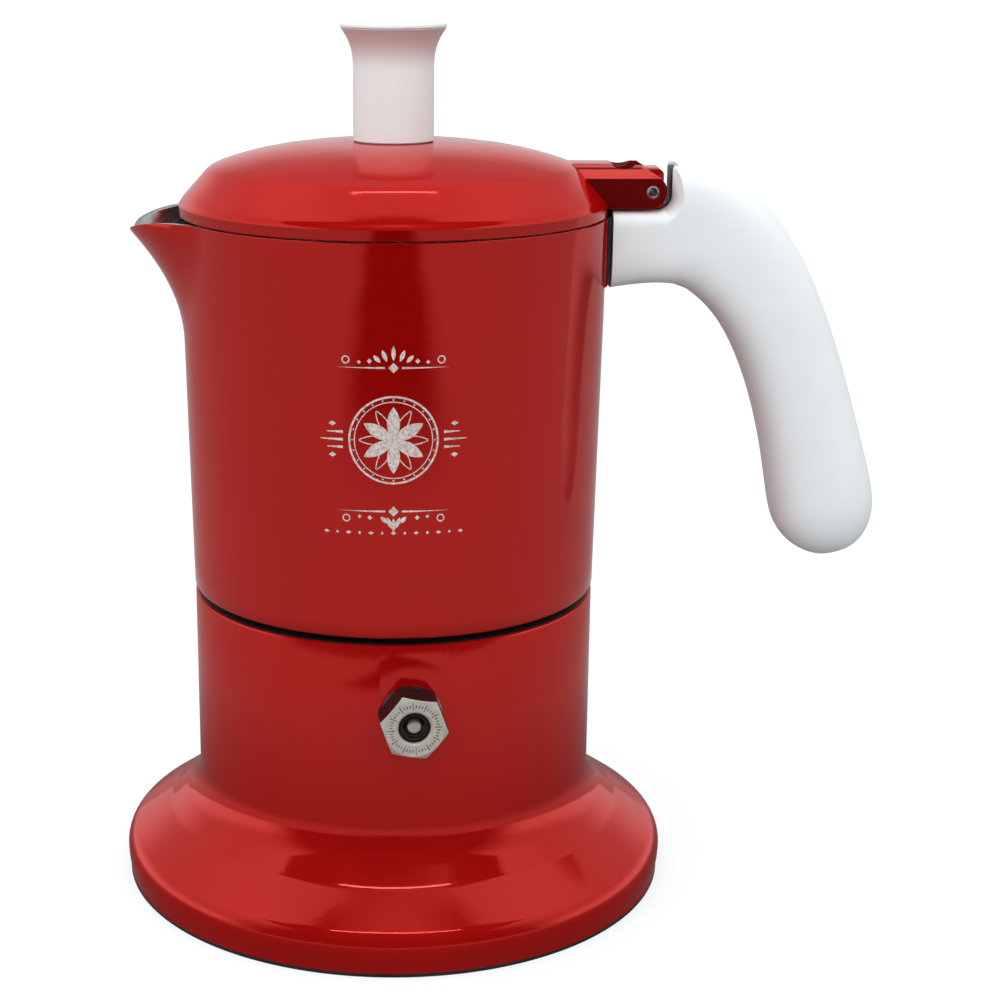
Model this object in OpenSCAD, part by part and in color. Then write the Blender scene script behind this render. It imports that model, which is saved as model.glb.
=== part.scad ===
// Stovetop moka pot: boiler with safety valve, funnel, seal, collector with spout,
// hinged lid and moulded handle. Millimetres, +Z up, pot axis on Z, base at Z = 0,
// handle toward +X, spout toward -X, safety valve toward -Y.

/* [Boiler] */
// Outer radius of the boiler's straight wall
boiler_r = 42.8; // [42.4:0.1:43.2]
// Height of the boiler's outer wall
boiler_h = 64; // [63:0.5:65]
// Widest radius of the spread base
base_r = 59.2; // [58:0.1:60]
// Slope of the base's skirt, degrees from level
skirt_slope = 37; // [34:1:40]
// Height of the skirt's slope at 50 mm from the axis
skirt_h = 14.8; // [14:0.1:15.5]
// Wall thickness of the boiler
boiler_wall = 3; // [2.5:0.1:3.5]
// Outer radius of the threaded neck
neck_r = 37.2; // [36.8:0.1:37.3]
// Height of the neck above the boiler's shoulder
neck_h = 10; // [9.5:0.5:10.5]

/* [Safety valve] */
// Height of the valve's axis
valve_z = 49.2; // [48:0.2:52]
// Angle from the front toward the handle, degrees
valve_turn = 4.8; // [0:0.2:10]
// Width across the hexagon's flats
valve_af = 12; // [11:0.5:12.5]
// Length of the hexagon
valve_len = 6.8; // [6:0.1:7]
// Bore radius at the valve's mouth
valve_bore_r = 3.2; // [3:0.05:3.4]

/* [Funnel and seal] */
// Outer radius of the funnel's basket
basket_r = 33.6; // [33:0.1:33.8]
// Depth of the funnel's basket
basket_h = 23; // [20:0.5:24]
// Outer radius of the funnel's stem
stem_r = 5.2; // [4.8:0.1:6]
// Thickness of the seal ring
gasket_h = 3.2; // [3:0.1:3.4]

/* [Collector] */
// Outer radius at the collector's lower edge
collector_r0 = 42.9; // [42.4:0.1:43.2]
// Outer radius at the collector's rim
collector_r1 = 44.3; // [43.8:0.1:44.6]
// Height of the collector's lower edge
collector_z0 = 65.4; // [65.2:0.1:66]
// Height of the collector's rim
rim_z = 143.9; // [143:0.1:144]
// Wall thickness of the collector
collector_wall = 2.4; // [2:0.1:2.6]
// Reach of the spout's tip from the axis
spout_x = 54.1; // [52:0.1:56]
// Height of the spout's tip
spout_z = 139.8; // [139:0.1:141]
// Half the angle that the spout takes up of the rim, degrees
spout_half_angle = 27; // [24:1:28]
// Outer radius of the riser column at its foot
column_r = 7.5; // [7:0.1:8]

/* [Lid and knob] */
// Height of the lid's lower edge
lid_z = 144.2; // [144.1:0.1:144.4]
// Height of the lid's crown at the knob
crown_z = 158.7; // [158:0.1:159.5]
// Wall thickness of the lid
lid_wall = 2; // [1.6:0.1:2.2]
// Radius of the knob's shaft
knob_r = 8.3; // [7.5:0.05:8.5]
// Radius of the knob's flared top
knob_top_r = 10.9; // [10.5:0.1:11.2]
// Height of the knob's body
knob_h = 22.7; // [22:0.1:23.5]

/* [Hinge] */
// Distance of the hinge pin from the pot's axis
pin_x = 52.7; // [52.5:0.1:52.9]
// Height of the hinge pin
pin_z = 149.1; // [149:0.1:149.3]
// Radius of the hinge pin
pin_r = 1.3; // [1.2:0.05:1.4]
// Half width of the hinge arm
arm_w = 8; // [7.5:0.1:8.2]
// Half width of the collector's hinge lug
lug_w = 4.1; // [3.8:0.1:4.1]

/* [Handle] */
// Distance of the handle's seat from the pot's axis
seat_x = 43.6; // [43.5:0.1:43.7]
// Thickness of the heat spacer
spacer_t = 1.2; // [1:0.1:1.4]
// Height of the ledge under the hinge arm
ledge_z = 145.1; // [145:0.1:145.2]
// Distance of the recess's rear wall from the pot's axis
recess_x = 57; // [56.8:0.1:57.2]
// Half width of the handle at its seat
handle_w = 8.5; // [8.2:0.1:9]

/* [Hidden] */
$fn = 96;
fit = 0.05;                 // radial clearance of a turned fit
gap = 0.3;                  // clearance between curved faces that move past each other
e = 0.01;                   // overrun of a cut past a face
foot_r = base_r - 0.4;
foot_h = 0.9;
boiler_floor = 4;
neck_z = boiler_h + neck_h;
neck_bore = neck_r - 3.2;
flange_t = 0.8;
gasket_z = neck_z + flange_t;
gasket_bore = 30.5;
filter_z = gasket_z + gasket_h;
filter_t = 0.9;
socket_z = filter_z + filter_t + 0.1;
socket_r = neck_r + gap;
valve_face = 42.1;          // milled seat of the valve, from the pot's axis
valve_washer_t = 1;
valve_washer_r = 5.95;
shank_r = 5;
column_top = 124;
column_bore = 4.2;
shoulder_r = 38;
shoulder_z = crown_z - 5;
lid_rim_h = 2.9;
ear_w = 4.4;                // half width of the slot between the ears
arm_top = pin_z + 5.1;
arm_crown = 2.4;            // drop of the hinge arm from its middle to its outer edges
ear_r = 3.4;
web_z = pin_z + 1.9;
web_end = pin_x - 7.8;
lug_top = pin_z + 4.2;
handle_x = seat_x + spacer_t;
handle_z0 = 129.4;          // underside of the handle where it meets the pot
pad_w = handle_w + 0.3;
tang_z0 = 135.5;
tang_z1 = 142;
tang_x = 56;
tang_w = 4;
screw_x = 51;
screw_r = 2;
washer_t = 0.8;
head_r = 3.6;
head_h = 2.6;
screw_seat = 133.5;
liner_w = 4.3;
cap_t = 0.9;
insert_r = 3;

// Centre x, centre z, half thickness and half width along the handle, pot end first
handle_stations = [
    [44.8, 141.7, 12.8, 8.5],
    [52.0, 142.1, 12.2, 8.5],
    [59.5, 141.9, 12.25, 8.6],
    [64.5, 140.0, 12.1, 8.8],
    [69.0, 137.1, 11.75, 9.0],
    [75.4, 129.9, 10.85, 9.3],
    [80.5, 120.6, 10.2, 9.5],
    [85.0, 108.9, 10.05, 9.5],
    [88.5, 96.5, 10.35, 9.6],
    [91.0, 86.0, 11.0, 9.7],
    [92.3, 79.5, 10.7, 9.2],
    [92.9, 74.8, 8.5, 7.5],
    [93.1, 72.0, 5.3, 4.9],
    [93.2, 70.7, 2.0, 2.0]
];

red = [0.62, 0.09, 0.08];
bare = [0.78, 0.78, 0.77];
white = [0.90, 0.88, 0.88];
black = [0.06, 0.06, 0.06];

function arc(c, r, a0, a1, n = 8) =
    [for (i = [0:n]) let (a = a0 + (a1 - a0) * i / n) c + r * [cos(a), sin(a)]];

// A point on a line that slopes down outward at skirt_slope and passes h above [50, 0]
function slope_z(r, h) = h - (r - 50) * tan(skirt_slope);

// Places children with +Z along the valve's axis, outward, and the milled seat at Z = 0
module at_valve() {
    rotate([0, 0, valve_turn - 90])
        translate([valve_face, 0, valve_z])
            rotate([0, 90, 0])
                children();
}

module ring(r_out, r_in, h) {
    difference() {
        cylinder(r = r_out, h = h);
        translate([0, 0, -e]) cylinder(r = r_in, h = h + 2 * e);
    }
}

// ---- Boiler ----

// Outline of the boiler's outside: foot, rolled edge, sloping skirt, fillet, wall, neck
function boiler_outline() =
    let (
        fillet = 10,
        roll = 4.4,
        under = 20,
        n = [sin(skirt_slope), cos(skirt_slope)],
        fc_r = boiler_r + fillet,
        fc = [fc_r, slope_z(fc_r, skirt_h) + fillet / n[1]],
        rc_r = base_r - roll,
        rc = [rc_r, slope_z(rc_r, skirt_h) - roll / n[1]],
        uc = [base_r - under, rc[1]]
    )
    concat(
        [[0, 0], [foot_r, 0], [foot_r, foot_h]],
        arc(uc, under, -asin((rc[1] - foot_h - 0.6) / under), 0, 4),
        arc(rc, roll, 10, 90 - skirt_slope, 5),
        arc(fc, fillet, 270 - skirt_slope, 180, 6),
        [[boiler_r, boiler_h], [neck_r, boiler_h], [neck_r, neck_z], [0, neck_z]]
    );

function boiler_hollow() =
    let (
        r = boiler_r - boiler_wall,
        h = skirt_h - boiler_wall / cos(skirt_slope),
        wide = base_r - 4
    )
    [
        [0, boiler_floor], [wide, boiler_floor], [wide, slope_z(wide, h)], [r, slope_z(r, h)],
        [r, boiler_h - 7], [neck_bore, boiler_h - 1], [neck_bore, neck_z + 1], [0, neck_z + 1]
    ];

module boiler() {
    color(red)
        difference() {
            rotate_extrude() polygon(boiler_outline());
            rotate_extrude() polygon(boiler_hollow());
            at_valve() cylinder(r = valve_washer_r + 0.1, h = 5);
            at_valve() translate([0, 0, -10]) cylinder(r = shank_r + fit, h = 11);
        }
}

// ---- Safety valve ----

module valve_washer() {
    color(bare) at_valve() ring(valve_washer_r, shank_r + fit, valve_washer_t);
}

module valve_body() {
    corner = valve_af / 2 / cos(30);
    face_r = corner - 1.1;
    chamfer = 32;
    seat = -5;
    color([0.75, 0.72, 0.66])
        at_valve()
            difference() {
                union() {
                    translate([0, 0, valve_washer_t])
                        intersection() {
                            rotate([0, 0, 20]) cylinder(r = corner, h = valve_len + 1, $fn = 6);
                            rotate_extrude()
                                polygon([[0, -1], [face_r + 2, -1], [face_r + 2, valve_len - 2 * tan(chamfer)],
                                         [face_r, valve_len], [0, valve_len]]);
                        }
                    translate([0, 0, seat - 1.5]) cylinder(r = shank_r, h = valve_washer_t + 1.5 - seat);
                }
                translate([0, 0, seat]) cylinder(r = valve_bore_r, h = 20);
                translate([0, 0, seat - 5]) cylinder(r = 1.6, h = 10);
            }
}

// Ring pressed into the mouth of the valve; it holds the spring in
module valve_retainer() {
    color(bare)
        at_valve() translate([0, 0, valve_washer_t + valve_len - 1.6]) ring(valve_bore_r, 2.3, 0.7);
}

// Coil spring of round wire, swept along a helix
module valve_spring() {
    wire = 0.25;
    coil = 2.7;
    turns = 6;
    steps = turns * 16;
    z0 = -2.9;
    rise = valve_washer_t + valve_len - 1.65 - wire - (z0 + wire);
    pts = [for (i = [0:steps]) let (a = 360 * turns * i / steps)
           for (j = [0:5]) let (b = 60 * j)
               [(coil + wire * cos(b)) * cos(a), (coil + wire * cos(b)) * sin(a),
                z0 + wire + rise * i / steps + wire * sin(b)]];
    sides = [for (i = [0:steps - 1]) for (j = [0:5])
             [6 * i + j, 6 * i + (j + 1) % 6, 6 * i + 6 + (j + 1) % 6, 6 * i + 6 + j]];
    color(bare)
        at_valve()
            polyhedron(pts, concat([[5, 4, 3, 2, 1, 0]], sides, [[for (j = [0:5]) 6 * steps + j]]));
}

// Sliding pin with the disc that closes the valve's seat
module valve_pin() {
    color(bare)
        at_valve() {
            translate([0, 0, -4.1]) cylinder(r = 2.95, h = 1.1);
            translate([0, 0, -3.1]) cylinder(r = 1.55, h = 3.1 + valve_washer_t + valve_len - 1);
        }
}

module valve_seal() {
    color(black) at_valve() translate([0, 0, -4.95]) cylinder(r = 2.7, h = 0.85);
}

// ---- Funnel, seal and filter ----

module funnel() {
    wall = 0.9;
    z_cone = neck_z - basket_h;
    cone_h = 5.5;
    r_in = basket_r - wall;
    color(bare)
        rotate_extrude()
            polygon([
                [stem_r, 9], [stem_r, z_cone - cone_h], [basket_r, z_cone], [basket_r, neck_z],
                [neck_r - 0.5, neck_z], [neck_r - 0.5, gasket_z], [r_in, gasket_z], [r_in, z_cone + 0.4],
                [stem_r - wall, z_cone - cone_h + 0.6], [stem_r - wall, 9]
            ]);
}

// Perforated disc pressed into the bottom of the basket
module funnel_strainer() {
    r = basket_r - 0.9 - fit;
    color(bare)
        translate([0, 0, neck_z - basket_h + 0.4])
            difference() {
                cylinder(r = r, h = flange_t);
                perforations(rings = 4, step = 6.4, hole = 0.8, depth = flange_t);
            }
}

module perforations(rings, step, hole, depth) {
    for (k = [1:rings])
        for (i = [0:6 * k - 1])
            rotate([0, 0, 360 / (6 * k) * i])
                translate([k * step, 0, -e]) cylinder(r = hole, h = depth + 2 * e, $fn = 16);
}

module gasket() {
    color([0.86, 0.84, 0.80]) translate([0, 0, gasket_z]) ring(neck_r - 0.3, gasket_bore, gasket_h);
}

module filter_plate() {
    color(bare)
        translate([0, 0, filter_z])
            difference() {
                cylinder(r = neck_r - 0.8, h = filter_t);
                perforations(rings = 4, step = 6.4, hole = 0.6, depth = filter_t);
            }
}

// ---- Collector ----

function collector_radius(z) =
    collector_r0 + (collector_r1 - collector_r0) * (z - collector_z0) / (rim_z - collector_z0);

module collector_shell() {
    floor_z = socket_z + 5;
    wall_r = collector_radius(floor_z + 6) - collector_wall;
    rotate_extrude()
        polygon([
            [socket_r, collector_z0], [collector_r0 - 0.6, collector_z0], [collector_r0, collector_z0 + 0.6],
            [collector_r1, rim_z], [collector_r1 - collector_wall, rim_z], [wall_r, floor_z + 6],
            [wall_r - 4, floor_z], [column_r + 3, floor_z + 3], [column_r, floor_z + 6],
            [column_r - 1.9, column_top - 3], [column_r - 3.6, column_top], [0, column_top],
            [0, column_top - 2.5], [column_bore - 0.6, column_top - 2.5], [column_bore, socket_z + 6.5],
            [31, socket_z + 1.8], [33, socket_z], [socket_r, socket_z]
        ]);
}

// Beak of the spout: a blunt nose whose rim dips to the tip; grow is added to every side
module beak(grow) {
    tip_r = 2.5;
    reach = spout_x - collector_r1;
    function side(a) =
        (collector_r1 + reach * (1 - pow(abs(a) / spout_half_angle, 1.5)) + grow) * [-cos(a), sin(a)];
    // Both ends of the rim curve run on into the wall
    root = spout_half_angle + 2;
    root_r = collector_r1 - 1 + grow / 2;
    hull() {
        translate([tip_r - spout_x, 0, spout_z - 2.2 - grow]) cylinder(r = tip_r + grow, h = 2.2, $fn = 32);
        translate([0, 0, rim_z - 2 - grow])
            linear_extrude(height = 2)
                polygon(concat(
                    [for (k = [-1, 1]) root_r * [-cos(root), k * sin(root)]],
                    [for (i = [3:-1:-3]) if (i != 0) side(i * spout_half_angle / 4)]
                ));
        translate([-39.5, 0, rim_z - 18.5 - grow]) cylinder(r = 2.2 + grow, h = 2, $fn = 32);
    }
}

// Block between the ears of the lid's arm, on a root that rises from the wall
module hinge_lug() {
    under = ledge_z + gap;
    rotate([90, 0, 0])
        translate([0, 0, -lug_w])
            linear_extrude(height = 2 * lug_w)
                polygon(concat(
                    [[41, 128], [seat_x, 130], [seat_x, under], [pin_x + 2.6, under]],
                    arc([pin_x + 1.4, lug_top - 1.2], 1.2, 0, 90, 4),
                    [[pin_x - 1.2, lug_top], [pin_x - 3.2, web_z - 0.4], [41, web_z - 0.4]]
                ));
}

module collector() {
    color(red)
        difference() {
            union() {
                difference() {
                    collector_shell();
                    // Milled seat of the handle
                    translate([seat_x, -20, handle_z0 - 2]) cube([5, 40, 30]);
                }
                difference() {
                    beak(0);
                    cylinder(r = collector_r1 - 1.6, h = 300);
                }
                hinge_lug();
                // Flat pad behind the handle, and the tang that the handle slides onto
                translate([41, -pad_w, handle_z0]) cube([seat_x - 41, 2 * pad_w, rim_z - handle_z0]);
                translate([41, -tang_w, tang_z0]) cube([tang_x - 41, 2 * tang_w, tang_z1 - tang_z0]);
            }
            intersection() {
                beak(-1.7);
                translate([-60, -20, 100]) cube([24, 40, 60]);
            }
            translate([0, 0, pin_z]) pin_hole(pin_r + fit);
            translate([screw_x, 0, tang_z0 - 1]) cylinder(r = screw_r + fit, h = 6.6);
            // Two side windows near the top of the riser column
            translate([-10, -1.5, column_top - 12]) cube([20, 3, 7]);
        }
}

module pin_hole(r) {
    translate([pin_x, 20, 0]) rotate([90, 0, 0]) cylinder(r = r, h = 40);
}

// ---- Lid ----

function lid_outline(t) =
    let (
        top = crown_z - t,
        r_rim = collector_r1 - t,
        z_rim = lid_z + lid_rim_h - t * 0.4,
        r_sh = shoulder_r - t * 0.5,
        z_sh = shoulder_z - t * 0.8,
        n = 10
    )
    concat(
        [[0, lid_z - 1], [r_rim, lid_z - 1], [r_rim, z_rim]],
        [for (i = [0:n]) let (r = r_sh * (1 - i / n)) [r, top - (top - z_sh) * pow(r / r_sh, 3)]]
    );

module ear_outline() {
    polygon(concat(
        [[36, pin_z - ear_r]],
        arc([pin_x - 0.5, pin_z], ear_r, -90, 55, 10),
        [[pin_x - 2.2, arm_top], [36, arm_top]]
    ));
}

// Two ears and the web between them, crowned across the arm
module lid_arm() {
    crown_w = arm_w - ear_w - 0.4;
    right = [for (p = arc([0, 0], 1, 0, 90, 5))
             [arm_w - crown_w * (1 - p[0]), arm_top - arm_crown * (1 - p[1])]];
    intersection() {
        union() {
            for (s = [-1, 1])
                translate([0, s * (arm_w + ear_w) / 2 + (arm_w - ear_w) / 2, 0])
                    rotate([90, 0, 0]) linear_extrude(height = arm_w - ear_w) ear_outline();
            translate([36, -ear_w - 1, web_z]) cube([web_end - 36, 2 * ear_w + 2, arm_top - web_z]);
        }
        translate([35, 0, 0])
            rotate([90, 0, 90])
                linear_extrude(height = 30)
                    polygon(concat(
                        [[-arm_w, pin_z - 6], [arm_w, pin_z - 6]], right,
                        [for (i = [5:-1:0]) [-right[i][0], right[i][1]]]
                    ));
    }
}

module lid() {
    color(red)
        difference() {
            union() {
                difference() {
                    rotate_extrude() polygon(lid_outline(0));
                    translate([0, 0, lid_z - 5]) cylinder(r = 60, h = 5);
                }
                lid_arm();
            }
            rotate_extrude() polygon(lid_outline(lid_wall));
            translate([36, -ear_w, lid_z - 1]) cube([12, 2 * ear_w, web_z - lid_z + 1]);
            translate([0, 0, pin_z]) pin_hole(pin_r);
            cylinder(r = screw_r + 0.1, h = 200);
            // Flat seat for the knob's washer
            translate([0, 0, crown_z - lid_wall - 1]) cylinder(r = 4.8, h = 1);
        }
}

module hinge_pin() {
    color(bare)
        translate([pin_x, arm_w - 0.3, pin_z])
            rotate([90, 0, 0])
                difference() {
                    cylinder(r = pin_r, h = 2 * arm_w - 0.6);
                    translate([0, 0, -e]) cylinder(r = pin_r - 0.45, h = 2 * arm_w);
                    translate([-pin_r - 0.2, -0.15, -e]) cube([pin_r, 0.3, 2 * arm_w]);
                }
}

// ---- Knob ----

// Turned knob: straight shaft that flares to a lip, with a pocket for the cap and a hole for the insert
module knob() {
    top = crown_z + knob_h;
    rise = 7.8;
    n = 8;
    flare = [for (i = [0:n]) let (u = i / n)
             [knob_r + (knob_top_r - knob_r) * pow(u, 2.4), top - rise * (1 - u)]];
    color(white)
        difference() {
            rotate_extrude() polygon(concat([[0, crown_z], [knob_r, crown_z]], flare, [[0, top]]));
            translate([0, 0, top - 2]) cylinder(r = knob_top_r - 2.2, h = 5);
            translate([0, 0, crown_z - e]) cylinder(r = insert_r, h = 12 + e);
        }
}

module knob_insert() {
    color([0.80, 0.65, 0.30]) translate([0, 0, crown_z]) ring(insert_r, screw_r, 11);
}

// Screw from inside the lid; its thread ends in the knob's insert
module knob_screw() {
    seat = crown_z - lid_wall - washer_t;
    color(bare)
        union() {
            translate([0, 0, seat - head_h]) slotted_head();
            translate([0, 0, seat - e]) cylinder(r = screw_r, h = washer_t + lid_wall + 8);
        }
}

module knob_washer() {
    color(bare) translate([0, 0, crown_z - lid_wall - washer_t]) ring(4.6, screw_r + 0.1, washer_t);
}

// Cap that closes the knob's pocket, gently domed
module knob_cap() {
    top = crown_z + knob_h;
    dome = 0.7;
    sphere_r = (knob_top_r * knob_top_r + dome * dome) / (2 * dome);
    color(white)
        union() {
            translate([0, 0, top - 1.8]) cylinder(r = knob_top_r - 2.3, h = 2);
            translate([0, 0, top]) cylinder(r = knob_top_r, h = cap_t);
            translate([0, 0, top + cap_t])
                rotate_extrude()
                    polygon(concat([[0, -0.2], [knob_top_r, -0.2]],
                        [for (i = [0:8]) let (r = (knob_top_r - 0.3) * (1 - i / 8))
                         [r, sqrt(sphere_r * sphere_r - r * r) - sphere_r + dome]]));
        }
}

module slotted_head() {
    difference() {
        cylinder(r = head_r, h = head_h);
        translate([-head_r - e, -0.5, -e]) cube([2 * head_r + 2 * e, 1, 1]);
    }
}

// ---- Handle ----

// Black liner between the hot metal and the handle: seat, ledge and rear wall
module handle_spacer() {
    top = ledge_z - spacer_t;
    color(black)
        difference() {
            union() {
                translate([seat_x, -handle_w + 0.3, handle_z0])
                    cube([spacer_t, 2 * handle_w - 0.6, top + 0.1 - handle_z0]);
                // The ledge starts clear of the lid's rim
                translate([handle_x - 0.4, -liner_w, top])
                    cube([recess_x - handle_x + spacer_t + 0.4, 2 * liner_w, spacer_t]);
                translate([recess_x, -liner_w, top]) cube([spacer_t, 2 * liner_w, 9.6]);
            }
            translate([seat_x - 1, -tang_w - fit, tang_z0 - fit])
                cube([spacer_t + 2, 2 * (tang_w + fit), tang_z1 - tang_z0 + 2 * fit]);
        }
}

// Closed skin through one rounded section for each station along the handle
module handle_skin() {
    n = 24;
    last = len(handle_stations) - 1;
    function heading(i) =
        let (a = handle_stations[max(i - 1, 0)], b = handle_stations[min(i + 1, last)],
             d = [b[0] - a[0], b[1] - a[1]])
        d / norm(d);
    function spow(v, p) = sign(v) * pow(abs(v), p);
    pts = [for (i = [0:last])
           let (s = handle_stations[i], h = i == 0 ? [1, 0] : heading(i),
                p = i < 3 ? 0.45 : (i < 6 ? 0.6 : 0.8))
           for (j = [0:n - 1])
               let (a = 360 * j / n, u = spow(cos(a), p) * s[2], w = spow(sin(a), p) * s[3])
               [s[0] - h[1] * u, w, s[1] + h[0] * u]];
    sides = [for (i = [0:last - 1]) for (j = [0:n - 1]) let (k = (j + 1) % n)
             each [[n * i + j, n * i + k, n * i + n + k], [n * i + j, n * i + n + k, n * i + n + j]]];
    polyhedron(pts, concat([[for (j = [n - 1:-1:0]) j]], sides, [[for (j = [0:n - 1]) n * last + j]]));
}

module handle() {
    round_r = 3;
    color(white)
        difference() {
            handle_skin();
            // Recess for the hinge arm, with a rounded inner corner
            rotate([90, 0, 0])
                translate([0, 0, -20])
                    linear_extrude(height = 40)
                        polygon(concat(
                            [[40, ledge_z]],
                            arc([recess_x - round_r, ledge_z + round_r], round_r, -90, 0, 6),
                            [[recess_x, 170], [40, 170]]
                        ));
            // Channel for the spacer, pocket for the tang
            translate([40, -liner_w - fit, ledge_z - spacer_t])
                cube([recess_x + spacer_t - 40, 2 * (liner_w + fit), 30]);
            translate([40, -tang_w - fit, tang_z0 - fit])
                cube([tang_x - 40 + 0.3, 2 * (tang_w + fit), tang_z1 - tang_z0 + 2 * fit]);
            translate([screw_x, 0, 120]) cylinder(r = screw_r + 0.2, h = 20);
            translate([screw_x, 0, 120]) cylinder(r = head_r + 0.5, h = screw_seat - 120);
        }
}

module handle_washer() {
    color(bare) translate([screw_x, 0, screw_seat - washer_t]) ring(3.8, screw_r + 0.1, washer_t);
}

module handle_screw() {
    seat = screw_seat - washer_t;
    color(bare)
        translate([screw_x, 0, seat]) {
            translate([0, 0, -head_h]) slotted_head();
            translate([0, 0, -e]) cylinder(r = screw_r, h = 8 + e);
        }
}

boiler();
valve_washer();
valve_body();
valve_retainer();
valve_spring();
valve_pin();
valve_seal();
funnel();
funnel_strainer();
gasket();
filter_plate();
collector();
handle_spacer();
handle();
handle_screw();
handle_washer();
hinge_pin();
lid();
knob();
knob_insert();
knob_screw();
knob_washer();
knob_cap();
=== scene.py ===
# A stovetop moka pot in red enamel with a white knob and handle, set on a pale table.
# Frame: metres, +Z up, pot axis on Z, base at Z = 0, handle toward +X, spout toward -X.
import math

import bmesh
import bpy
from mathutils import Matrix, Vector


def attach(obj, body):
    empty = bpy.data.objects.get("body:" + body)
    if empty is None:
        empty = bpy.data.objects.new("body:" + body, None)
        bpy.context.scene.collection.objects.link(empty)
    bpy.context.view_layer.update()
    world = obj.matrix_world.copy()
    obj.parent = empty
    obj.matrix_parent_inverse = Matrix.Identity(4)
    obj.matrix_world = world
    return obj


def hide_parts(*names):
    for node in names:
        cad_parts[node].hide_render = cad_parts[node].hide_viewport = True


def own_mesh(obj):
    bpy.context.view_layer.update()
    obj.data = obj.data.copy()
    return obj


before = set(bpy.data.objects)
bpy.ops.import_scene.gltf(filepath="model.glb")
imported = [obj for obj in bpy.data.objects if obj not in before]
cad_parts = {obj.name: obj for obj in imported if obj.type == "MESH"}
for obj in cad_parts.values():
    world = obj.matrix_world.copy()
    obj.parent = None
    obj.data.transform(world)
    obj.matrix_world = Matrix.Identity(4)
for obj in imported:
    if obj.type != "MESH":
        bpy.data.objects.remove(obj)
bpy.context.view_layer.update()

# ---- Camera ----
# A 73 mm lens stands a little over 40 cm in front of the pot and looks down at it by 15 degrees.
camera_data = bpy.data.cameras.new("camera")
camera_data.lens = 72.99
camera_data.sensor_width = 36
camera_data.shift_x = 0.1065
camera_data.clip_start = 0.01
camera = bpy.data.objects.new("camera", camera_data)
camera.location = (0, -0.42103, 0.19853)
camera.rotation_euler = (math.radians(74.544), 0, 0)
bpy.context.scene.collection.objects.link(camera)
bpy.context.scene.camera = camera
bpy.context.scene.view_settings.view_transform = "Standard"


# ---- Studio ----
# A white tent stands around the table, open in front where the camera looks in, so reflections
# of the front are dark. Cards and tubes over the pot draw a dark patch and thin lines on the gloss.
def wire(tree, output, target):
    tree.links.new(output, target)


def coloured(tree, kind, colour, strength=None):
    """A shader or background node of one colour."""
    node = tree.nodes.new(kind)
    node.inputs["Color"].default_value = (*colour, 1)
    if strength is not None:
        node.inputs["Strength"].default_value = strength
    return node


def either(tree, chooser, otherwise, chosen):
    """One of two shaders, chosen by the kind of ray."""
    node = tree.nodes.new("ShaderNodeMixShader")
    for output, target in zip((chooser, otherwise, chosen), node.inputs):
        wire(tree, output, target)
    return node.outputs[0]


def calculate(tree, operation, first, second=None, third=None):
    node = tree.nodes.new("ShaderNodeMath")
    node.operation = operation
    for slot, value in enumerate((first, second, third)):
        if isinstance(value, (int, float)):
            node.inputs[slot].default_value = value
        elif value is not None:
            wire(tree, value, node.inputs[slot])
    return node.outputs[0]


def multiply(tree, first, *others):
    for other in others:
        first = calculate(tree, "MULTIPLY", first, other)
    return first


def add(tree, first, *others):
    for other in others:
        first = calculate(tree, "ADD", first, other)
    return first


def rescale(tree, value, low, high, new_low=0.0, new_high=1.0, smooth=False):
    node = tree.nodes.new("ShaderNodeMapRange")
    node.interpolation_type = "SMOOTHSTEP" if smooth else "LINEAR"
    wire(tree, value, node.inputs["Value"])
    node.inputs["From Min"].default_value = low
    node.inputs["From Max"].default_value = high
    node.inputs["To Min"].default_value = new_low
    node.inputs["To Max"].default_value = new_high
    return node.outputs["Result"]


def separated(tree, vector):
    node = tree.nodes.new("ShaderNodeSeparateXYZ")
    wire(tree, vector, node.inputs[0])
    return node.outputs


white_cloth, daylight = (0.97, 0.99, 1.0), (1.0, 0.99, 0.97)
tent = bpy.data.worlds.new("tent")
bpy.context.scene.world = tent
tent.use_nodes = True
tree = tent.node_tree
tree.nodes.clear()
parts = separated(tree, tree.nodes.new("ShaderNodeTexCoord").outputs["Generated"])
toward_front = multiply(tree, parts["Y"], -1.0)
opening = rescale(tree, toward_front, 0.20, 0.62, 0.72, 0.04, smooth=True)
horizon = rescale(tree, parts["Z"], 0.15, 0.45, 1.1, 0.58, smooth=True)
zenith = rescale(tree, parts["Z"], 0.6, 0.95, 0.0, 0.36, smooth=True)
overhead = add(tree, horizon, zenith)
tent_walls = coloured(tree, "ShaderNodeBackground", white_cloth)
side_walls = rescale(tree, calculate(tree, "ABSOLUTE", parts["X"]), 0.2, 0.75, 1.0, 1.65, smooth=True)
wire(tree, multiply(tree, opening, overhead, side_walls), tent_walls.inputs["Strength"])
soft_fill = coloured(tree, "ShaderNodeBackground", white_cloth)
from_front = rescale(tree, toward_front, -0.2, 0.9, 0.55, 1.52, smooth=True)
above_table = rescale(tree, parts["Z"], 0.0, 0.5, 0.6, 1.08, smooth=True)
from_front = multiply(tree, from_front, above_table)
from_above = rescale(tree, parts["Z"], 0.1, 0.9, 0.0, 0.80, smooth=True)
from_sides = rescale(tree, parts["X"], 0.7, -1.0, 0.0, 0.42)
wire(tree, add(tree, from_front, from_above, from_sides), soft_fill.inputs["Strength"])
plain_white = coloured(tree, "ShaderNodeBackground", (1, 1, 1))
ray = tree.nodes.new("ShaderNodeLightPath")
all_round = either(tree, ray.outputs["Is Glossy Ray"], soft_fill.outputs[0], tent_walls.outputs[0])
wire(tree, either(tree, ray.outputs["Is Camera Ray"], all_round, plain_white.outputs[0]),
     tree.nodes.new("ShaderNodeOutputWorld").inputs["Surface"])


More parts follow.
